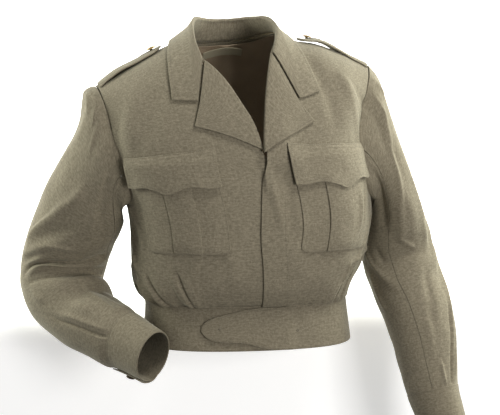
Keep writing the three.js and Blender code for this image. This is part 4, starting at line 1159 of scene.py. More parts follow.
@dataclass
class Torso:
    """The two fronts, the back, its lining and the hanger loop."""

    sewing: Stitching
    fly_stitch: float = 12.4

    def front(self, half: Half) -> None:
        """One front: from its edge at the opening to the side seam and armhole, between waist and shoulder.

        Args:
            half: which front.
        """
        left = half is Half.LEFT
        edge = FRONT_EDGE_LEFT if left else FRONT_EDGE_RIGHT

        def place(u: Array, level: Array) -> tuple:
            """Side runs from the opening's edge to the armhole.

            The last row stops short of the shoulder seam.
            """
            side = mix(edge.read("side", level), FORM.arm_side(level, "front"), u) * half.sign
            run = np.where(level >= SHOULDER_END, SHOULDER_END - FORM.shoulder_gap(side), level)
            return side, run, FORM.lap(side, run) if left else 0.0, 1.0

        levels = mix(79.0, SHOULDER_END, spread(150, 371))
        outer, inner = on_body(spread(140, 300), levels, place, SHELL)
        sewn = ((Border.START, 5.0), (Border.HIGH, 2.5), (Border.END, 2.2), (Border.LOW, 1.8))
        shell = ClothShell(
            f"cloth_front_{half.value}", outer, inner, WOOL, "wool_serge", sewn=sewn, seam_depth=0.3
        )
        shell.settle()
        shell.make(f"front_{half.value}")
        if left:
            self.fly(shell)

    def fly(self, shell: ClothShell) -> None:
        """The fly's line of stitches, an even way in from the front edge."""
        path, up = shell.seam_path(Border.START, self.fly_stitch * MM_PER_DEGREE, 1.5)
        low = path[:, 2] < 250
        self.sewing.run(path[low] + up[low] * 0.1, up[low])

    def back_grid(
        self, lift: float, thickness: float, sides: Array, levels: Array, inset: float, folded: float
    ) -> tuple[Array, Array]:
        """Back panel's grids: level rows, then rows that rise to the neck's edge and the shoulder seam.

        Args:
            lift: how far it lies from the body's own surface, mm.
            thickness: wall, mm.
            sides: places across, where 18 is the side of the neck.
            levels: rows, from the waist to the shoulder.
            inset: how far the top stays below the edges, mm of run.
            folded: how much of the folds it follows.

        Returns:
            Its outside and inside.
        """

        def place(base: Array, level: Array) -> tuple:
            """Side and run of the back panel."""
            near = np.abs(base) <= 18
            arm = FORM.arm_side(level, "back")
            neck = np.where(base > 0, 18 * NECK_LEFT, 18.0)
            out = np.sign(base) * mix(neck, arm, (np.abs(base) - 18) / 72)
            side = np.where(near, base * neck / 18, out)
            share = np.maximum(0, (level - NECK_FROM) / (SHOULDER_END - NECK_FROM))
            top = np.where(near, 2 * SHOULDER_END - BACK_NECK.read("run", np.abs(base)), SHOULDER_END)
            raw = np.where(share > 0, mix(NECK_FROM, top, share), level)
            reached = np.minimum(raw, SHOULDER_END - FORM.shoulder_gap(side)) - inset * share
            return side, 2 * SHOULDER_END - reached, lift, folded

        return on_body(sides, levels, place, thickness)

    def back(self) -> None:
        """Back panel of wool."""
        half = 90 * spread(92, 290)
        sides = np.unique(np.concatenate([-half[::-1], half, [-18, -17.5, 17.5, 18]]))
        outer, inner = self.back_grid(0, SHELL, sides, mix(79.0, SHOULDER_END, spread(112, 371)), 0, 1.0)
        sewn = ((Border.LOW, 1.8), (Border.START, 2.2), (Border.END, 2.2), (Border.HIGH, 2.5))
        shell = ClothShell("cloth_back", outer, inner, WOOL, "wool_serge", sewn=sewn, seam_depth=0.3)
        shell.settle()
        shell.make("back")

    def lining(self) -> None:
        """Brown lining of the back, with soft vertical ease pleats of its own."""
        sides = mix(-86.0, 86.0, spread(120, 520))
        outer, inner = self.back_grid(
            LINING_LIFT, LINING, sides, mix(84.0, SHOULDER_END, spread(60, 370)), 2, 0.0
        )
        shell = ClothShell("cloth_back_lining", outer, inner, LINING_CLOTH, "lining", turn=0.8)
        u, v = np.meshgrid(sides * MM_PER_DEGREE, np.linspace(0, 370, outer.shape[0]))
        ease = 0.7 * bell(u / 5) + 0.35 * unevenness(u * 1.4, v * 0.5, 5.0)
        ease = np.clip(ease, -0.2, 0.8) * smooth(np.minimum(v, 370 - v) / 30)
        inward = unit(inner - outer)
        shell.outer = outer + inward * ease[..., None] * 0.6
        shell.inner = inner + inward * ease[..., None] * 2.2
        shell.settle()
        shell.make("back_lining")

    def loop(self) -> None:
        """Hanger loop: a narrow sewn strap across the inside of the neck, sagging between its bar tacks."""
        u, v = np.meshgrid(spread(40, 75, 0.6), spread(6, 8, 0.6))
        side = mix(-8.6, 6.2, u)
        sag = -1.4 * np.sin(np.pi * u)
        grids = [
            FORM.place(side, mix(514, 522, v), LINING_LIFT - LINING - off + sag, 0.0) for off in (1.6, 2.8)
        ]
        shell = ClothShell("cloth_hanger_loop", grids[1], grids[0], TAPE, "lining", turn=0.6)
        shell.settle()
        shell.make("hanger_loop")

    def make(self) -> None:
        """All pieces of the torso."""
        self.front(Half.RIGHT)
        self.front(Half.LEFT)
        self.back()
        self.lining()
        self.loop()


COLLAR_SEAM = Table(
    "at side run",
    (
        (0, -12.9, 383.2), (0.12, -14.7, 405), (0.24, -16.7, 430), (0.36, -17.2, 450), (0.5, -16.6, 463),
        (0.64, -15, 478), (0.78, -11.2, 495.6), (0.9, -5.7, 506), (1, 0, 509.4),
    ),
)
COLLAR_FOLD = Table(
    "at side run lift",
    (
        (0, -13.3, 384, 4.6), (0.12, -13.8, 408, 9), (0.24, -12.8, 432, 14), (0.36, -11.3, 451, 18),
        (0.5, -10, 463, 19),
        (0.64, -8.5, 474, 19), (0.78, -6.2, 484, 19), (0.9, -3.1, 490, 18.5), (1, 0, 492, 18.5),
    ),
)
COLLAR_EDGE = Table(
    "at side run lift",
    (
        (0, -27.6, 357.5, 4.6), (0.12, -26.2, 385, 5.2), (0.24, -23.8, 418, 6), (0.36, -21.2, 450, 6.5),
        (0.5, -19.6, 474, 6.5), (0.64, -16.8, 496, 6.5), (0.78, -12, 512, 6.5), (0.9, -5.5, 520, 6.5),
        (1, 0, 522, 6.5),
    ),
)
COLLAR_GORGE = Table("at side run", ((0, -13.8, 384), (0.62, -17.7, 350), (1, -27.6, 357.5)))


def left_fold_lift(at: float, lift: float) -> float:
    """Lower stand of the collar's left half."""
    if 0.1 < at < 0.7:
        return lift * 0.8
    return lift * 0.95 if 0.7 < at < 0.9 else lift


COLLAR_SEAM_LEFT = Table(
    "at side run", tuple((a, -s * NECK_LEFT if a else 9.5, r) for a, s, r in COLLAR_SEAM.rows)
)
COLLAR_FOLD_LEFT = Table(
    "at side run lift",
    tuple(
        (a, -s * (0.85 if a < 0.2 else 0.92) if a else 10.1, r, left_fold_lift(a, lift))
        for a, s, r, lift in COLLAR_FOLD.rows
    ),
)
COLLAR_EDGE_LEFT = Table(
    "at side run lift",
    ((0, 29.6, 359.5, 4.6), (0.12, 24.5, 386, 5.2))
    + tuple((a, -s * (0.83 if a < 0.3 else 0.75), r, lift) for a, s, r, lift in COLLAR_EDGE.rows[2:]),
)
COLLAR_GORGE_LEFT = Table("at side run", ((0, 10.5, 384.4), (0.62, 20, 350), (1, 29.6, 359.5)))


@dataclass
class TurnedCloth:
    """Cloth turned over: an optional stand, a round fold and a fall that lies on the body."""

    stations: Array
    stand_steps: int
    falls: Array
    thickness: float = DOUBLE

    def grids(
        self, seam: Callable[[Array], tuple] | None, fall: Callable[[Array, Array], tuple]
    ) -> tuple[Array, Array]:
        """Outside and inside grids, one row per station.

        Each row goes straight up the stand, half round a circle about the fold's middle, then down the fall.

        Args:
            seam: side, run and lift where the stand is sewn, or None without a stand.
            fall: side, run, lift and folds at a share of the fall, which starts at the fold.

        Returns:
            The two grids.
        """
        t = self.stations
        zero = np.zeros_like(t)
        side, run, lift, folded = fall(t, zero)
        out = FORM.place(side, run, lift, folded)
        into = FORM.place(side, run, lift - 2 * ROLL_RADIUS, folded)
        next_side, next_run, _, next_folded = fall(t, zero + 0.15)
        normal = unit(out - into)
        away = out - FORM.place(next_side, next_run, lift, next_folded)
        away = unit(away - normal * (away * normal).sum(axis=-1, keepdims=True))
        middle = (out + into) / 2
        outer: list[Array] = []
        inner: list[Array] = []
        if seam is not None:
            seam_side, seam_run, seam_lift = seam(t)
            low = FORM.place(seam_side, seam_run, seam_lift, 0.0)
            low_in = FORM.place(seam_side, seam_run, seam_lift + self.thickness, 0.0)
            for k in np.arange(self.stand_steps) / self.stand_steps:
                bow = normal * (-1.2 * np.sin(np.pi * k))
                outer.append(mix(low, into, k) + bow)
                inner.append(mix(low_in, into + normal * self.thickness, k) + bow)
        for bend in np.linspace(0, np.pi, 11):
            ring = -normal * np.cos(bend) + away * np.sin(bend)
            outer.append(middle + ring * ROLL_RADIUS)
            inner.append(middle + ring * (ROLL_RADIUS - self.thickness))
        for share in self.falls:
            side, run, lift, folded = fall(t, zero + share)
            outer.append(FORM.place(side, run, lift, folded))
            inner.append(FORM.place(side, run, lift - self.thickness, folded))
        return np.stack(outer, axis=1), np.stack(inner, axis=1)


def patch(
    start: Callable, end: Callable, low: Callable, high: Callable, u: Array, v: Array
) -> tuple[Array, ...]:
    """Four-sided blend of a start line, an end line and two joining lines.

    It is the sum of both pairs less the blend of their corners.
    """
    zero = np.zeros_like(u)
    one = zero + 1
    s, e, lo, hi = start(v), end(v), low(u), high(u)
    s0, s1, e0, e1 = start(zero), start(one), end(zero), end(one)
    return tuple(
        mix(s[k], e[k], u) + mix(lo[k], hi[k], v) - mix(mix(s0[k], e0[k], u), mix(s1[k], e1[k], u), v)
        for k in range(3)
    )


@dataclass
class Turnings:
    """Collar and lapels."""

    sewing: Stitching
    edge_stitch: float = 5.0

    def lapel(self, half: Half, roll: Table, point: tuple[float, float], notch: tuple[float, float]) -> None:
        """One lapel, from its roll line to its point and notch.

        Args:
            half: which lapel.
            roll: the roll line.
            point: side and run of the lapel's point.
            notch: side and run of the notch.
        """
        left = half is Half.LEFT
        first = (roll.rows[0][1], roll.rows[0][2])
        last = (roll.rows[-1][1], roll.rows[-1][2])

        def line(a: tuple[float, float], b: tuple[float, float]) -> Callable:
            """Straight line between two places."""
            return lambda t: (mix(a[0], b[0], t), mix(a[1], b[1], t), LAPEL_LIFT + 0 * t)

        def start(v: Array) -> tuple:
            """The roll line."""
            return roll.read("side", v), roll.read("run", v), LAPEL_LIFT + 0 * v

        def fall(v: Array, u: Array) -> tuple:
            """A place on the lapel, lifted where the left front laps over."""
            side, run, lift = patch(start, line(point, notch), line(first, point), line(last, notch), u, v)
            bow = 1.1 * np.sin(np.pi * np.clip(u, 0, 1)) * np.sin(np.pi * np.clip(v, 0, 1))
            return side, run, lift + bow + (FORM.lap(side, run) if left else 0), 1.0

        turned = TurnedCloth(
            spread(70, 120), 0, np.concatenate([np.linspace(0.06, 0.97, 34), [0.985, 0.993, 1]])
        )
        outer, inner = turned.grids(None, fall)
        sewn = (
            (Border.END, self.edge_stitch), (Border.HIGH, self.edge_stitch), (Border.LOW, self.edge_stitch)
        )
        shell = ClothShell(
            f"cloth_lapel_{half.value}", outer, inner, WOOL, "wool_serge", "folded", 0.5, sewn=sewn,
            seam_depth=0.25
        )
        shell.settle()
        for border in (Border.END, Border.LOW):
            self.sewing.run(*shell.seam_path(border, self.edge_stitch, self.edge_stitch))
        shell.make(f"lapel_{half.value}")

    def collar(self) -> None:
        """The collar: both halves meet at the middle of the back neck."""
        halves = (
            (COLLAR_SEAM, COLLAR_FOLD, COLLAR_EDGE, COLLAR_GORGE),
            (COLLAR_SEAM_LEFT, COLLAR_FOLD_LEFT, COLLAR_EDGE_LEFT, COLLAR_GORGE_LEFT),
        )

        def read(table: Table, at: Array) -> tuple:
            """Side, run and lift of a collar line."""
            return table.read("side", at), table.read("run", at), table.read("lift", at)

        def one_fall(tables: tuple[Table, ...], t: Array, u: Array) -> tuple:
            """A place on one half's fall, between fold, edge, gorge and middle."""
            _, fold, edge, gorge = tables

            def gorge_line(share: Array) -> tuple:
                """Gorge seam and the collar's front end."""
                return gorge.straight("side", share), gorge.straight("run", share), LAPEL_LIFT + 0 * share

            def middle_line(share: Array) -> tuple:
                """Middle of the back."""
                f, e = fold.rows[-1], edge.rows[-1]
                return 0 * share, mix(f[2], e[2], share), mix(f[3], e[3], share)

            side, run, lift = patch(
                lambda v: read(fold, v), lambda v: read(edge, v), gorge_line, middle_line, u, t
            )
            return side, run, lift, 1 - smooth(t / 0.3)

        def choose(s: Array, values: list[tuple]) -> tuple:
            """Right half's values before the middle, left half's after."""
            return tuple(np.where(s <= 0, a, b) for a, b in zip(*values))

        def fall(s: Array, u: Array) -> tuple:
            """A place on the fall by station from -1 to 1."""
            return choose(s, [one_fall(halves[0], 1 + s, u), one_fall(halves[1], 1 - s, u)])

        def seam(s: Array) -> tuple:
            """Where the stand is sewn to the neck."""
            values = []
            for tables, t in ((halves[0], 1 + s), (halves[1], 1 - s)):
                values.append((tables[0].read("side", t), tables[0].read("run", t), -SHELL - 0.4 + 0 * t))
            return choose(s, values)

        stations = np.concatenate([-1 + spread(120, 330), 1 - spread(120, 330)[::-1][1:]])
        stations = np.unique(stations.round(7))
        falls = np.concatenate([np.linspace(0.07, 0.97, 34), [0.982, 0.992, 1]])
        outer, inner = TurnedCloth(stations, 10, falls).grids(seam, fall)
        sewn = (
            (Border.END, self.edge_stitch), (Border.LOW, self.edge_stitch), (Border.HIGH, self.edge_stitch)
        )
        shell = ClothShell(
            "cloth_collar", outer, inner, WOOL, "wool_serge", "folded", 0.2, sewn=sewn, seam_depth=0.25
        )
        shell.settle()
        self.sewing.run(*shell.seam_path(Border.END, self.edge_stitch, self.edge_stitch))
        shell.make("collar")

    def make(self) -> None:
        """Both lapels and the collar."""
        self.lapel(Half.RIGHT, ROLL_RIGHT, (-20.2, 331), (-17.1, 348.4))
        self.lapel(Half.LEFT, ROLL_LEFT, (27, 331.5), (19.4, 348.2))
        self.collar()


@dataclass
class PatchPocket:
    """A breast pocket: its bag, box pleat and pointed flap."""

    half: Half
    centre: float
    width: float
    pleat: float
    pleat_half: float
    sway: float
    sewing: Stitching
    bulge: float = 2.2
    flap_top: float = 312.0
    outline: Table = Table(
        "level share",
        (
            (163, 0.8), (165.5, 0.92), (171, 1), (190, 1), (215, 1), (240, 1), (265, 1), (285, 1),
            (299, 0.99),
        ),
    )
    flap_edge: Table = Table(
        "at level",
        (
            (-1, 267), (-0.82, 266), (-0.5, 269), (-0.18, 262.5), (0, 257.5), (0.18, 262.5), (0.5, 269),
            (0.82, 266.5), (1, 268),
        ),
    )

    def lap(self, side: Array, run: Array) -> Array:
        """Lift of the left front under this pocket."""
        return FORM.lap(side, run) if self.half is Half.LEFT else 0 * side

    def swell(self, u: Array, level: Array) -> Array:
        """Crowned fullness of the bag, fading to its edges."""
        return self.bulge * (1 - u * u) * smooth((level - 158) / 20) * smooth((312 - level) / 25)

    def bow(self, level: Array) -> Array:
        """Sideways bow of the pocket on the rounded chest, in degrees."""
        near = smooth((262 - np.abs(level - 225)) / 262)
        return self.sway * self.half.sign * near * (1 - ((level - 232) / 75) ** 2)

    def lean(self, u: Array) -> Array:
        """The outer side takes the whole bow, the inner side less of it."""
        return np.where(u * self.half.sign > 0, 1.0, 0.4)

    def bag(self) -> None:
        """The pocket's bag."""

        def place(u: Array, level: Array) -> tuple:
            """Side from the middle by the outline's share, lifted by the bag's swell and a few soft dents."""
            share = self.outline.read("share", level)
            side = self.centre + self.width * share * u + self.bow(level) * self.lean(u)
            dents = 0.35 * unevenness(u * 70, level, 3.0 + self.half.sign) * smooth((1 - np.abs(u)) / 0.3)
            lift = 0.5 + SHELL + self.swell(u, level) + np.maximum(dents, -0.15) + self.lap(side, level)
            return side, level, lift, 1.0

        levels = mix(163.0, 299.0, spread(52, 136))
        outer, inner = on_body(mix(-1.0, 1.0, spread(56, 145)), levels, place, SHELL)
        sewn = ((Border.START, 1.9), (Border.END, 1.9), (Border.LOW, 1.9))
        shell = ClothShell(
            f"cloth_pocket_{self.half.value}", outer, inner, WOOL, "wool_serge", "laid", sewn=sewn
        )
        shell.settle()
        for border in (Border.START, Border.END, Border.LOW):
            self.sewing.run(*shell.seam_path(border, 1.9, 4.0))
        shell.make(f"pocket_{self.half.value}")

    def box_pleat(self) -> None:
        """The raised strip of the box pleat."""

        def place(v: Array, level: Array) -> tuple:
            """Strip that follows the bag's swell, its middle a little fuller than its pressed edges."""
            side = self.pleat + self.pleat_half * v + self.bow(level) * 0.6
            u = (side - self.centre) / self.width
            fuller = 0.5 * (1 - v * v) * smooth((level - 166) / 20)
            lift = 1.3 + 2 * SHELL + self.swell(u, level) + fuller + self.lap(side, level)
            return side, level, lift, 1.0

        outer, inner = on_body(
            mix(-1.0, 1.0, spread(16, 45)), mix(164.5, 296.0, spread(50, 131)), place, SHELL
        )
        shell = ClothShell(
            f"cloth_pocket_pleat_{self.half.value}", outer, inner, WOOL, "wool_serge", "folded"
        )
        shell.sewn = ((Border.LOW, 2.0),)
        shell.settle()
        self.sewing.run(*shell.seam_path(Border.LOW, 2.0, 3.0))
        shell.make(f"pocket_pleat_{self.half.value}")

    def flap(self) -> None:
        """The pointed flap, sewn along its top and stitched round its edge."""
        sign = self.half.sign

        def place(u: Array, v: Array) -> tuple:
            """From the seam along the top down to the pointed lower edge, rising off the bag at its edge."""
            low = self.flap_edge.read("level", u)
            level = mix(self.flap_top - 1.5 * u * sign, low, v)
            side = self.centre + (self.width + 0.8) * u + self.bow(level) * self.lean(u)
            over = 2.2 + 3 * SHELL + self.swell(np.abs(u), level) + 1.4 * smooth((v - 0.5) / 0.5)
            curl = 0.8 * smooth((v - 0.6) / 0.4) * np.sin(u * 4.2 + sign) * smooth((np.abs(u) - 0.15) / 0.5)
            lift = mix(0.5 + DOUBLE, over + np.maximum(curl, -0.2), smooth((self.flap_top - level + 2) / 12))
            return side, level, lift + self.lap(side, level), 1.0

        outer, inner = on_body(mix(-1.0, 1.0, spread(66, 150)), spread(28, 50), place, DOUBLE)
        sewn = ((Border.START, 5.5), (Border.END, 5.5), (Border.HIGH, 5.5), (Border.LOW, 1.8))
        shell = ClothShell(
            f"cloth_flap_{self.half.value}", outer, inner, WOOL, "wool_serge", "hung", sewn=sewn
        )
        shell.seam_depth = 0.35
        shell.settle()
        for border, inset, _ in (*((b, i, 0) for b, i in sewn), (Border.LOW, 7.0, 0)):
            self.sewing.run(*shell.seam_path(border, inset, max(inset, 4.0)))
        shell.make(f"flap_{self.half.value}")

    def make(self) -> None:
        """The pocket's three pieces."""
        self.bag()
        self.box_pleat()
        self.flap()


@dataclass
class ShoulderStrap:
    """A shoulder strap with its button and buttonhole."""

    half: Half
    tip: float
    rise: Table
    sewing: Stitching
    start: float = 214.5
    half_width: float = 23.0
    button_at: float = 0.86
    taper: Table = Table(
        "at share", ((0, 1), (0.35, 0.99), (0.7, 0.93), (0.88, 0.86), (0.95, 0.6), (1, 0.16))
    )

    def on_shoulder(self, x: Array, across: Array, lift: Array) -> Array:
        """A place by distance from the middle and distance behind the seam.

        Six steps settle its level and side.
        """
        side = FORM.side_at(x, SHOULDER_END)
        level = np.full(x.shape, SHOULDER_END)
        for _ in range(6):
            boxy = 1 + BOXY * np.sin(np.radians(side)) ** 2
            depth = np.where(across < 0, 138, 130) * np.cos(np.radians(side)) * boxy
            phi = np.arccos(np.minimum(1, np.abs(across) / depth))
            level = SHOULDER_START + (SHOULDER_END - SHOULDER_START) * phi * 2 / np.pi
            side = FORM.side_at(x, level)
        return FORM.place(side, np.where(across < 0, level, 2 * SHOULDER_END - level), lift, 1.0)

    def point(self, t: Array, across: Array, lift: Array | float) -> Array:
        """A place on the strap: t from the sleeve to the tip, across from front to back edge."""
        t, across = np.broadcast_arrays(np.asarray(t, float), np.asarray(across, float))
        width = self.half_width * self.taper.read("share", t)
        reach = mix(self.start, self.tip, t) - 2.5 * across**2 * (1 - smooth(t * 5))
        crown = self.rise.read("lift", t) + 0.8 * (1 - across**2)
        return self.on_shoulder(self.half.sign * reach, across * width - 1, crown + lift)

    def strap(self) -> None:
        """The strap itself, double cloth with a stitched edge."""
        across, t = np.meshgrid(mix(-1.0, 1.0, spread(22, 46)), spread(60, 110))
        shell = ClothShell(
            f"cloth_strap_{self.half.value}", self.point(t, across, 0.0), self.point(t, across, -DOUBLE),
            WOOL, "wool_serge", "laid",
        )
        shell.sewn = ((Border.START, 5.0), (Border.END, 5.0), (Border.LOW, 1.8))
        shell.settle()
        for border in (Border.START, Border.END):
            self.sewing.run(*shell.seam_path(border, 5.0, 5.0))
        shell.make(f"strap_{self.half.value}")

    def buttonhole(self) -> None:
        """Worked buttonhole along the strap: an oval of thread.

        It runs from beside the button's shank towards the sleeve.
        """
        angle = np.linspace(0, 2 * np.pi, 40, endpoint=False)
        t = self.button_at - 0.085 + 0.1 * np.cos(angle)
        across = 0.07 * np.sin(angle)
        path = self.point(t, across, 0.25)
        tube(f"buttonhole_{self.half.value}", path, 0.75, THREAD, "wool_serge", True)

    def button(self) -> None:
        """Domed gilt button with a plain rim on a short shank."""
        top = self.point(np.array(self.button_at), np.array(0.0), 0.0)
        axis = self.point(np.array(self.button_at), np.array(0.0), 1.0) - top
        profile = (
            (0, 0.7), (2.2, 0.7), (2.2, 2.0), (7.2, 2.15), (7.8, 2.4), (8.0, 2.8), (7.9, 3.3), (7.3, 3.65),
            (6.9, 3.6),
            (6.6, 3.75), (5.6, 4.45), (4.2, 5.0), (2.6, 5.35), (1.2, 5.48), (0, 5.5),
        )
        turned_solid(
            f"button_strap_{self.half.value}", profile, top, axis, BRASS, "brass_button",
            f"strap_button_{self.half.value}",
        )

    def make(self) -> None:
        """Strap, buttonhole and button."""
        self.strap()
        self.buttonhole()
        self.button()


@dataclass
class Waistband:
    """Waistband: one strip from under the right front, round the back and over the left front as a tab."""

    sewing: Stitching
    start: float = -10.0
    end: float = 389.2
    tab: Table = Table(
        "angle low high",
        (
            (-30, 8, 78), (-7, 9, 78), (1.5, 14, 77.5), (6.7, 19.5, 75), (10.7, 21, 71), (18.4, 22.5, 65),
            (23.5, 25, 60), (27, 31, 54.5), (29.2, 38.5, 47),
        ),
    )

    def place(self, round_angle: Array, share: Array, lift: Array | float) -> Array:
        """A place by angle round the waist and share of the band's height."""
        past = round_angle - 360
        turned = (round_angle + 540) % 360 - 180
        back = np.abs(turned) > 90
        side = np.where(back, -np.sign(turned) * (180 - np.abs(turned)), -turned)
        low = np.where(past > -30, self.tab.read("low", past), HEM)
        high = np.where(past > -30, self.tab.read("high", past), WAIST)
        level = mix(low, high, share)
        over = np.where(past > -30, 3.8 * smooth((past + 19) / 7), 0)
        soft = 0.35 * unevenness(round_angle * 2.9, level * 0.6, 7.0)
        soft = soft * smooth((level - 10) / 12) * smooth((76 - level) / 10)
        return FORM.place(side, np.where(back, 2 * SHOULDER_END - level, level), over + 1 + soft + lift, 0.0)

    def band(self) -> None:
        """The band, with a line of stitches along both edges and round the tab."""
        angles, shares = np.meshgrid(mix(self.start, self.end, spread(260, 1150)), spread(22, 70))
        shell = ClothShell(
            "cloth_waistband", self.place(angles, shares, 0.0), self.place(angles, shares, -2.6), WOOL_BAND,
            "waistband_wool", "laid",
        )
        shell.sewn = ((Border.LOW, 3.0), (Border.HIGH, 3.0), (Border.END, 3.0))
        shell.seam_depth = 0.35
        shell.settle()
        for border in (Border.LOW, Border.HIGH, Border.END):
            self.sewing.run(*shell.seam_path(border, 3.0, 3.0))
        shell.make("waistband")

    def eyelets(self) -> None:
        """Thread-worked eyelets where the band's hidden button and hook are sewn through."""
        for k, (angle, share, lift) in enumerate(((27.5, 0.36, 0.2), (341.5, 0.42, 0.2), (379.8, 0.5, 0.2))):
            turn = np.linspace(0, 2 * np.pi, 20, endpoint=False)
            radius = 1.5
            path = self.place(angle + radius / 2.9 * np.cos(turn), share + radius / 70 * np.sin(turn), lift)
            tube(f"eyelet_{k + 1}", path, 0.7, THREAD, "waistband_wool", True)

    def make(self) -> None:
        """Band and eyelets."""
        self.band()
        self.eyelets()


@dataclass
class Sleeve:
    """A two-piece sleeve with its cuff, slit and button."""

    half: Half
    out: tuple[float, float, float]
    rings: tuple[tuple[float, ...], ...]
    leave_top: tuple[float, float, float]
    leave_low: tuple[float, float, float]
    front_seam: tuple[float, float]
    back_seam: float
    slit: float
    folds: tuple[tuple[float, ...], ...]
    wrinkles: tuple[Crease, ...]
    sewing: Stitching
    button_seat: float
    head_reach: float
    head_arrive: float
    swell: Table
    cuff_lap: float = 34.0
    head: float = 95.0

    def __post_init__(self) -> None:
        """Adds to each ring its distance down the sleeve, measured straight from ring to ring."""
        data = np.array(self.rings, float)
        gaps = np.linalg.norm(np.diff(data[:, :3], axis=0), axis=1)
        at = np.concatenate([[0], np.cumsum(gaps)])
        rows = tuple(tuple(row) for row in np.column_stack([at, data]).tolist())
        self.table = Table("at x y z across through turn shift", rows)
        self.far = float(at[-1])
        self.cuff_at = float(at[-3])

    def ring(self, at: Array, round_angle: Array, swell: Array | float) -> Array:
        """A place on the sleeve's oval.

        It is the centre plus the outward and forward half sizes times cosine and sine.
        """
        at, round_angle = np.broadcast_arrays(np.asarray(at, float), np.asarray(round_angle, float))
        read = self.table.read

        def centre(where: Array) -> Array:
            """Middle of the ring."""
            return pile(read("x", where), read("y", where), read("z", where))

        tangent = unit(centre(np.minimum(at + 9, self.far)) - centre(np.maximum(at - 9, 0)))
        out = np.array(self.out)
        out = unit(out - tangent * (tangent @ out)[..., None])
        forward = np.cross(out, tangent) * (1 if self.half is Half.RIGHT else -1)
        a = np.radians(round_angle + read("turn", at))
        across = ((read("across", at) + swell) * np.cos(a))[..., None]
        through = (read("shift", at) + (read("through", at) + swell) * np.sin(a))[..., None]
        return centre(at) + out * across + forward * through

    def big_folds(self, at: Array, round_angle: Array) -> Array:
        """Large folds, which the solid has too: bells down and round the sleeve, slanting with the angle."""
        lift = np.zeros(np.broadcast(at, round_angle).shape)
        for fold_at, fold_round, span, reach, slant, height in self.folds:
            around = (round_angle - fold_round + 180) % 360 - 180
            down = (at - fold_at - slant * around) / span
            lift += height * np.exp(-down * down - (around / reach) ** 2)
        return lift

    def fine_folds(self, down: Array, round_angle: Array) -> Array:
        """Finer creases by distance below the head's end and by angle round.

        They fade at the armhole and at the cuff.
        """
        v = np.where(down < 1, (down - 1) * self.head, (down - 1) * 10)
        lift = 0.5 * unevenness(round_angle * 1.05, v, 2.0 + self.half.sign)
        for crease in self.wrinkles:
            for turn in (-360.0, 0.0, 360.0):
                lift = lift + crease.lift(round_angle + turn, v)
        return lift * smooth(down / 0.14) * smooth((self.cuff_at - v) / 9)

    def armhole(self, round_angle: Array, lift: Array | float) -> Array:
        """Armhole of the posed body, from the shoulder seam down the front, under the arm and up the back."""
        front = round_angle <= 180
        share = np.where(front, round_angle / 180, (360 - round_angle) / 180)
        level = mix(SHOULDER_END, UNDERARM, share + 0.06 * np.sin(2 * np.pi * share))
        arm = np.where(front, FORM.arm_side(level, "front"), FORM.arm_side(level, "back"))
        side = self.half.sign * arm
        reached = np.minimum(level, SHOULDER_END - FORM.shoulder_gap(side))
        return FORM.place(side, np.where(front, reached, 2 * SHOULDER_END - reached), lift, 1.0)

    def surface(self, down: Array, round_angle: Array, lift: Array | float) -> Array:
        """A place on the sleeve.

        Down runs from 0 to 1 over the head as a cubic curve, then adds tens of millimetres.
        """
        round_angle = round_angle % 360
        fine = self.fine_folds(down, round_angle)
        at = np.maximum(0, (down - 1) * 10)
        lower = self.ring(at, round_angle, lift + fine + self.big_folds(at, round_angle))
        low = (1 - np.cos(np.radians(round_angle))) / 2
        start = self.armhole(round_angle, lift)
        start[..., 0] += self.half.sign * (0.9 + 1.1 * (1 - low) ** 6)
        start[..., 2] -= 0.6 * low
        zero = np.zeros_like(down)
        end = self.ring(zero, round_angle, lift + self.big_folds(zero, round_angle))
        after = self.ring(zero + 12, round_angle, lift + self.big_folds(zero + 12, round_angle))
        outward = unit(end - self.ring(zero, round_angle, lift + self.big_folds(zero, round_angle) - 1))
        reach = np.linalg.norm(end - start, axis=-1, keepdims=True)
        leave = mix(np.array(self.leave_top), np.array(self.leave_low), low[..., None])
        leave[..., 1] -= 0.12 * np.sin(np.radians(round_angle))
        leave = unit(leave) * reach * mix(self.head_reach, 1.1, low[..., None])
        arrive = unit(after - end) * reach * mix(self.head_arrive, 0.95, low[..., None])
        t = np.clip(down, 0, 1)[..., None]
        upper = (
            start * (1 + 2 * t) * (1 - t) ** 2 + leave * t * (1 - t) ** 2
            + end * t * t * (3 - 2 * t) + arrive * t * t * (t - 1)
        )
        upper[..., 0] += self.half.sign * self.swell.read("out", t[..., 0]) * (1 - low) ** 4
        upper += outward * fine[..., None]
        return np.where((down >= 1)[..., None], lower, upper)

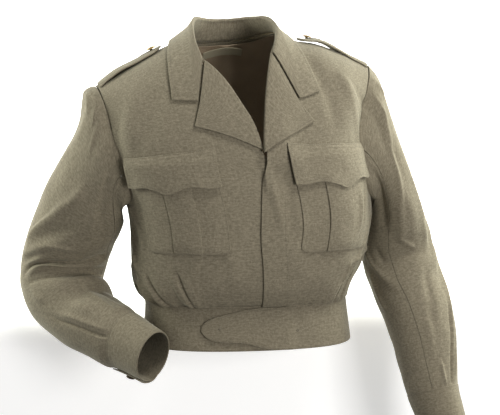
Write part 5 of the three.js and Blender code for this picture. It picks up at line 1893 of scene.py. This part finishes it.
    def piece(self, under: bool) -> None:
        """Upper or under piece of the sleeve, parted along the seams and at the slit above the cuff.

        Args:
            under: whether it is the under piece.
        """
        length = self.cuff_at - 0.2
        tucked = length + CUFF_TUCK
        head = spread(46, 100)
        body = 1 + spread(int(length / 2.6), tucked)[1:] * tucked / 10
        head = head[head < 0.985]
        downs = np.concatenate([head, [1.0], body])
        at = np.maximum(0, (downs - 1) * 10)
        slit = smooth((at - length + self.slit) / 12)
        gap = 0.25 + np.where(downs < 1, 0.15, 0)
        seam = mix(self.front_seam[0], self.front_seam[1], at / length)
        if under:
            first, last = seam + gap, self.back_seam - gap - 2 * slit
        else:
            first, last = self.back_seam + gap + 2 * slit - 360, seam - gap
        shares = spread(56 if under else 108, 140 if under else 260)
        rounds = mix(first[:, None], last[:, None], shares[None])
        down = np.broadcast_to(downs[:, None], rounds.shape)
        inside = smooth((np.broadcast_to(at[:, None], rounds.shape) - length + 1) / 1.5)
        which = "under" if under else "upper"
        shell = ClothShell(
            f"cloth_sleeve_{which}_{self.half.value}", self.surface(down, rounds, -TUCK_SINK * inside),
            self.surface(down, rounds, TUCK_THIN * inside - SHELL), WOOL, "wool_serge",
        )
        shell.sewn = ((Border.START, 2.0), (Border.END, 2.0), (Border.LOW, 2.2), (Border.HIGH, 2.0))
        shell.seam_depth = 0.3
        shell.settle()
        shell.make(f"sleeve_{which}_{self.half.value}")

    def cuff_place(self, at: Array, round_angle: Array, lift: Array | float) -> Array:
        """A place on the cuff, whose lapped end rises over its start."""
        rise = 3.1 * smooth((round_angle - self.back_seam - 326) / 22)
        soft = 0.3 * unevenness(round_angle, at, 11.0)
        return self.ring(at, round_angle, 0.6 + lift + rise + soft * smooth((self.far - at) / 10))

    def cuff(self) -> None:
        """The cuff: a double strip round the wrist with its end lapped and buttoned."""
        first = self.back_seam - 6
        last = self.back_seam + 354 + self.cuff_lap
        rounds, ats = np.meshgrid(
            mix(first, last, spread(110, 300)), mix(self.cuff_at + 0.2, self.far, spread(20, 65))
        )
        shell = ClothShell(
            f"cloth_cuff_{self.half.value}", self.cuff_place(ats, rounds, 0.0),
            self.cuff_place(ats, rounds, -DOUBLE),
            WOOL_BAND, "waistband_wool", "laid",
        )
        shell.sewn = ((Border.LOW, 2.0), (Border.HIGH, 5.0), (Border.END, 3.0))
        shell.settle()
        for border, inset in shell.sewn:
            self.sewing.run(*shell.seam_path(border, inset, 3.0))
        shell.make(f"cuff_{self.half.value}")

    def button(self) -> None:
        """Small dished button with a raised rim, sewn through its middle."""
        at = np.array((self.cuff_at + self.far) / 2)
        angle = np.array(self.back_seam + 354 + self.cuff_lap - 16)
        place = self.ring(at, angle, DOUBLE + 1.5 + self.button_seat)
        axis = place - self.ring(at, angle, -20)
        profile = (
            (0, 0), (5.4, 0), (6.5, 0.35), (7, 0.9), (7, 1.7), (6.7, 2.2), (6.1, 2.5), (5.4, 2.35),
            (4.8, 1.9),
            (3, 1.75), (0, 1.75),
        )
        turned_solid(
            f"button_cuff_{self.half.value}", profile, place, axis, PLASTIC, "cuff_button",
            f"cuff_button_{self.half.value}",
        )
        up = unit(axis)
        one = unit(np.cross(up, np.array([0.2, 0.9, 0.4])))
        two = np.cross(up, one)
        for k, turn in enumerate((np.pi / 4, 3 * np.pi / 4)):
            ray = one * np.cos(turn) + two * np.sin(turn)
            bar = place + up * 1.95 + ray * np.linspace(-1.9, 1.9, 9)[:, None]
            bar = bar - up * (np.linspace(-1, 1, 9)[:, None] ** 6) * 0.5
            tube(f"button_thread_{self.half.value}_{k + 1}", bar, 0.4, THREAD, "cuff_button", False)

    def make(self) -> None:
        """Both sleeve pieces, the cuff and its button."""
        self.piece(False)
        self.piece(True)
        self.cuff()
        self.button()


@dataclass
class Studio:
    """Pale sweep of paper, soft lights and the camera."""

    target: Point = (0.0236, -0.008, -0.252)
    direction: Point = (-0.1724, -0.9775, 0.1219)
    distance: float = 2.6
    view_width: float = 0.8

    def sweep(self) -> None:
        """Paper that hangs close behind the hem.

        It turns back over a rounded edge and rises into a far wall.
        """
        near = 0.128
        ledge = -0.44
        edge = 0.05
        far = 1.15
        bend = 0.4
        turn = np.linspace(0, np.pi / 2, 16)
        y = np.concatenate(
            [[near], near + edge - edge * np.cos(turn), far - bend + bend * np.sin(turn), [far]]
        )
        z = np.concatenate(
            [[-2.4], ledge - edge + edge * np.sin(turn), ledge + bend - bend * np.cos(turn), [3.0]]
        )
        x = np.linspace(-4, 4, 9)
        points = pile(x[None, :], y[:, None], z[:, None])
        index = np.arange(points.shape[0] * points.shape[1]).reshape(points.shape[:2])
        faces = quads(index[:-1, :-1], index[:-1, 1:], index[1:, 1:], index[1:, :-1])
        sweep = put_mesh("paper_sweep", points.reshape(-1, 3) * 1000 + HOLD, faces, StudioPaper().make())

    def lamp(
        self, name: str, place: Point, size: float, power: float, tint: Colour, aim: Point | None = None
    ) -> None:
        """A square soft light aimed at the jacket, or at another point."""
        data = bpy.data.lights.new(name, "AREA")
        data.shape = "SQUARE"
        data.size = size
        data.energy = power
        data.color = tint
        lamp = bpy.data.objects.new(name, data)
        lamp.location = place
        towards = Vector(aim or self.target) - Vector(place)
        lamp.rotation_euler = towards.to_track_quat("-Z", "Y").to_euler()
        bpy.context.scene.collection.objects.link(lamp)

    def lights(self) -> None:
        """Lights behind both sides of the jacket, one above and one in front.

        Two more light the paper, and a weak surround fills in.
        """
        self.lamp("side_left", (-1.3, 0.34, 0.25), 0.6, 18, (0.97, 1.0, 0.92))
        self.lamp("side_right", (1.35, 0.3, 0.3), 0.6, 30, (0.97, 1.0, 0.92))
        self.lamp("above", (0.55, -0.8, 1.3), 0.45, 17, (1.0, 1.0, 0.98))
        self.lamp("front", (0.9, -2.4, -0.1), 0.8, 31, (1.0, 0.985, 0.98))
        self.lamp("paper_left", (-0.85, 0.42, 0.35), 0.5, 10, (1.0, 1.0, 1.0), (-0.6, 1.15, 0.1))
        self.lamp("paper_right", (0.85, 0.42, 0.35), 0.5, 10, (1.0, 1.0, 1.0), (0.6, 1.15, 0.1))
        world = bpy.data.worlds.new("surround")
        world.use_nodes = True
        world.node_tree.nodes["Background"].inputs[0].default_value = (1.0, 1.0, 1.0, 1.0)
        world.node_tree.nodes["Background"].inputs[1].default_value = 0.2
        bpy.context.scene.world = world

    def camera(self) -> None:
        """Camera at the photograph's angle, framing its width at the target."""
        data = bpy.data.cameras.new("camera")
        data.sensor_width = 36
        data.lens = 36 * self.distance / self.view_width
        data.clip_end = 30
        camera = bpy.data.objects.new("camera", data)
        place = Vector(self.target) + Vector(self.direction).normalized() * self.distance
        camera.location = place
        camera.rotation_euler = (Vector(self.target) - place).to_track_quat("-Z", "Y").to_euler()
        bpy.context.scene.collection.objects.link(camera)
        bpy.context.scene.camera = camera

    def make(self) -> None:
        """Sweep, lights, camera and a plain display transform."""
        self.sweep()
        self.lights()
        self.camera()
        bpy.context.scene.view_settings.view_transform = "Standard"


def sleeve_crease(
    at: float, angle: float, to_at: float, to_angle: float, width: float, height: float, steep: float = 1.0
) -> Crease:
    """A crease on a sleeve, given by distances below the head and angles round."""
    return Crease((angle, at), (to_angle, to_at), width, height, steep)


def right_sleeve(sewing: Stitching) -> Sleeve:
    """The bent sleeve."""
    return Sleeve(
        Half.RIGHT,
        (-0.825, -0.556, 0.111),
        (
            (-264, 34, 214, 67, 71, -34, 0), (-277, 52, 172, 69, 67, -26, -3),
            (-283, 60, 128, 70, 67, -12, -13),
            (-283, 53, 103, 69, 68, -6, -17), (-281, 42, 81, 66, 65, -2, -13),
            (-262, 10, 48.5, 57, 53.5, 0, -3),
            (-240, -20, 36, 52, 50, 0, 0), (-217, -49, 25, 43, 50, 0, 0), (-207, -61, 22, 38, 46, 0, 0),
            (-188, -88, 14.5, 34, 43, 0, 0), (-169, -116, 6, 31, 41, 0, 0),
        ),
        (-1, 0, -0.2),
        (-0.85, 0, -0.5),
        (140, 128),
        262,
        88,
        (
            (118, 95, 16, 70, 0.08, -10), (88, 80, 20, 60, -0.25, 5), (158, 90, 20, 55, 0.25, 7),
            (44, 50, 22, 60, -0.4, 4), (222, 40, 22, 50, 0.4, 3), (96, 280, 24, 50, 0.3, 4),
        ),
        (
            # Head puckers and the line down from the armhole
            sleeve_crease(-86, 14, -74, 33, 4, 2.8),
            sleeve_crease(-92, 40, -76, 54, 4, 2.6),
            sleeve_crease(-90, 62, -60, 70, 5, 2.0),
            sleeve_crease(-88, 132, -40, 112, 7, -3.4, 0.6),
            sleeve_crease(-40, 112, 8, 124, 9, -4.2),
            sleeve_crease(-66, 118, -6, 100, 8, 3.2, 0.6),
            # Long ridge falling outwards above the elbow
            sleeve_crease(-62, 30, -34, 8, 8, 2.6),
            sleeve_crease(-36, 78, -10, 48, 7, 4.6, 0.5),
            sleeve_crease(-10, 48, 60, 8, 8, 6.0, 0.5),
            sleeve_crease(-6, 78, 44, 34, 9, -4.0),
            # Folds of the bent elbow
            sleeve_crease(88, -6, 46, 54, 7, 5.0, 0.6),
            sleeve_crease(46, 54, 38, 84, 6, 3.0, 0.6),
            sleeve_crease(106, 4, 80, 48, 3.6, -7.0, 0.5),
            sleeve_crease(80, 48, 69, 102, 4.4, -9.5, 0.5),
            sleeve_crease(69, 100, 58, 132, 8, -9.0),
            sleeve_crease(98, 10, 74, 38, 4, 3.6),
            sleeve_crease(114, 10, 88, 62, 5.5, 5.0, 0.6),
            sleeve_crease(88, 62, 98, 104, 7, 5.0),
            sleeve_crease(128, 0, 127, 54, 4.5, -3.4, 0.6),
            sleeve_crease(142, 2, 156, 10, 6, 2.2),
            # Forearm ridge and the pleats at the slit
            sleeve_crease(168, 74, 222, 69, 7, 3.2, 0.6),
            sleeve_crease(222, 69, 276, 60, 6, 3.0, 0.6),
            sleeve_crease(200, 90, 256, 92, 6, -2.4),
            sleeve_crease(196, 1, 286, 8, 2.6, -5.0),
            sleeve_crease(196, 12, 282, 20, 5, 3.0, 0.6),
            sleeve_crease(186, 34, 236, 40, 8, 2.0),
            # Under side
            sleeve_crease(100, 230, 128, 300, 8, 3.6, 0.6),
            sleeve_crease(70, 220, 60, 300, 9, 3.0),
            sleeve_crease(-40, 200, 40, 230, 10, 2.8),
            sleeve_crease(-60, 280, 10, 300, 10, 2.4),
            sleeve_crease(180, 240, 230, 280, 8, 2.4),
        ),
        sewing,
        0.75,
        0.35,
        0.5,
        Table(
            "at out",
            (
                (0, 0), (0.12, 6), (0.21, 1), (0.3, -6), (0.4, -13), (0.5, -14.5), (0.6, -10.5), (0.7, -6),
                (0.84, -1.5), (1, 0),
            ),
        ),
    )


def left_sleeve(sewing: Stitching) -> Sleeve:
    """The hanging sleeve."""
    return Sleeve(
        Half.LEFT,
        (0.985, 0.1, 0.13),
        (
            (240, 16, 206, 47, 74, 0, 0), (246.5, 22, 168, 55.5, 67, 0, 0), (253, 22, 130, 59, 63, 0, 0),
            (262.5, 10, 88, 56.5, 59, 0, 0), (275, -8, 48, 55, 57, 0, 0), (284, -24, 5, 52, 54, 0, 0),
            (289, -38, -40, 47, 50, 0, 0), (294, -48.7, -80, 41.5, 47, 0, 0),
            (302, -60, -113, 38, 45.5, 0, 0),
            (310, -71, -147, 37, 45, 0, 0),
        ),
        (0.52, 0, -0.85),
        (0.9, 0, -0.45),
        (128, 112),
        258,
        105,
        (
            (78, 110, 22, 60, 0.4, -4), (118, 90, 22, 60, 0.45, 4), (160, 20, 40, 24, 0, 4),
            (60, 280, 24, 60, -0.4, 4), (230, 300, 22, 40, 0.4, 3),
        ),
        (
            # Head puckers
            sleeve_crease(-90, 31, -76, 26, 4, 2.8),
            sleeve_crease(-92, 50, -72, 52, 4, 2.2),
            sleeve_crease(-88, -18, -48, -14, 5, 2.0),
            # Ridge down the front, with hollows at both sides
            sleeve_crease(-78, 42, -56, 76, 7, 3.0, 0.6),
            sleeve_crease(-56, 76, -14, 105, 8, 3.4, 0.6),
            sleeve_crease(-14, 105, 34, 102, 8, 3.2),
            sleeve_crease(-78, 64, -62, 92, 6, -2.6),
            sleeve_crease(-76, 150, 10, 134, 9, -5.0),
            sleeve_crease(-46, 44, 60, 54, 9, 3.0, 0.5),
            sleeve_crease(26, 108, 54, 84, 6, 2.8, 0.6),
            sleeve_crease(20, 30, 120, 44, 9, 3.0, 0.5),
            sleeve_crease(90, 20, 230, 46, 8, 3.6, 0.5),
            sleeve_crease(120, 72, 210, 90, 8, -2.8),
            # Short folds at the bend, under side
            sleeve_crease(58, 168, 114, 142, 6, 3.4, 0.6),
            sleeve_crease(50, 146, 80, 136, 5, -2.8),
            sleeve_crease(104, 174, 160, 166, 7, 3.0, 0.6),
            sleeve_crease(80, 152, 136, 128, 8, 2.6),
            # Lower arm, the slit and the cuff
            sleeve_crease(186, 44, 296, 62, 2.8, -6.0),
            sleeve_crease(196, 30, 290, 46, 6, 3.2, 0.5),
            sleeve_crease(264, 84, 300, 80, 4.5, 3.4, 0.6),
            sleeve_crease(190, 96, 262, 100, 7, 2.4),
            sleeve_crease(278, 150, 300, 170, 6, 2.4),
            sleeve_crease(100, 220, 160, 300, 9, 3.2),
            sleeve_crease(40, 210, 90, 290, 10, 3.0),
            sleeve_crease(-50, 250, 30, 280, 10, 2.6),
        ),
        sewing,
        0.65,
        0.6,
        0.5,
        Table("at out", ((0, 0), (0.12, 6), (0.22, 5), (0.35, 2), (0.5, 0))),
    )


def main() -> None:
    """Builds the jacket's sub-assemblies in sewing order, then the studio."""
    logging.basicConfig(level=logging.INFO, format="%(message)s")
    sewing = Stitching("stitches")
    Torso(sewing).make()
    Turnings(sewing).make()
    PatchPocket(Half.RIGHT, -37, 23.2, -32.8, 7.2, 2, sewing).make()
    PatchPocket(Half.LEFT, 38.6, 23.6, 35, 7.4, 1.5, sewing).make()
    rise_right = Table("at lift", ((0, 2.6), (0.3, 6.5), (0.6, 4.5), (0.85, 4), (1, 5)))
    rise_left = Table("at lift", ((0, 2.6), (0.3, 3.4), (0.58, 7.5), (0.72, 7.5), (0.86, 5), (1, 4.5)))
    ShoulderStrap(Half.RIGHT, 114, rise_right, sewing).make()
    ShoulderStrap(Half.LEFT, 101, rise_left, sewing).make()
    Waistband(sewing).make()
    right_sleeve(sewing).make()
    left_sleeve(sewing).make()
    sewing.make()
    Studio().make()


if __name__ == "__main__":
    main()
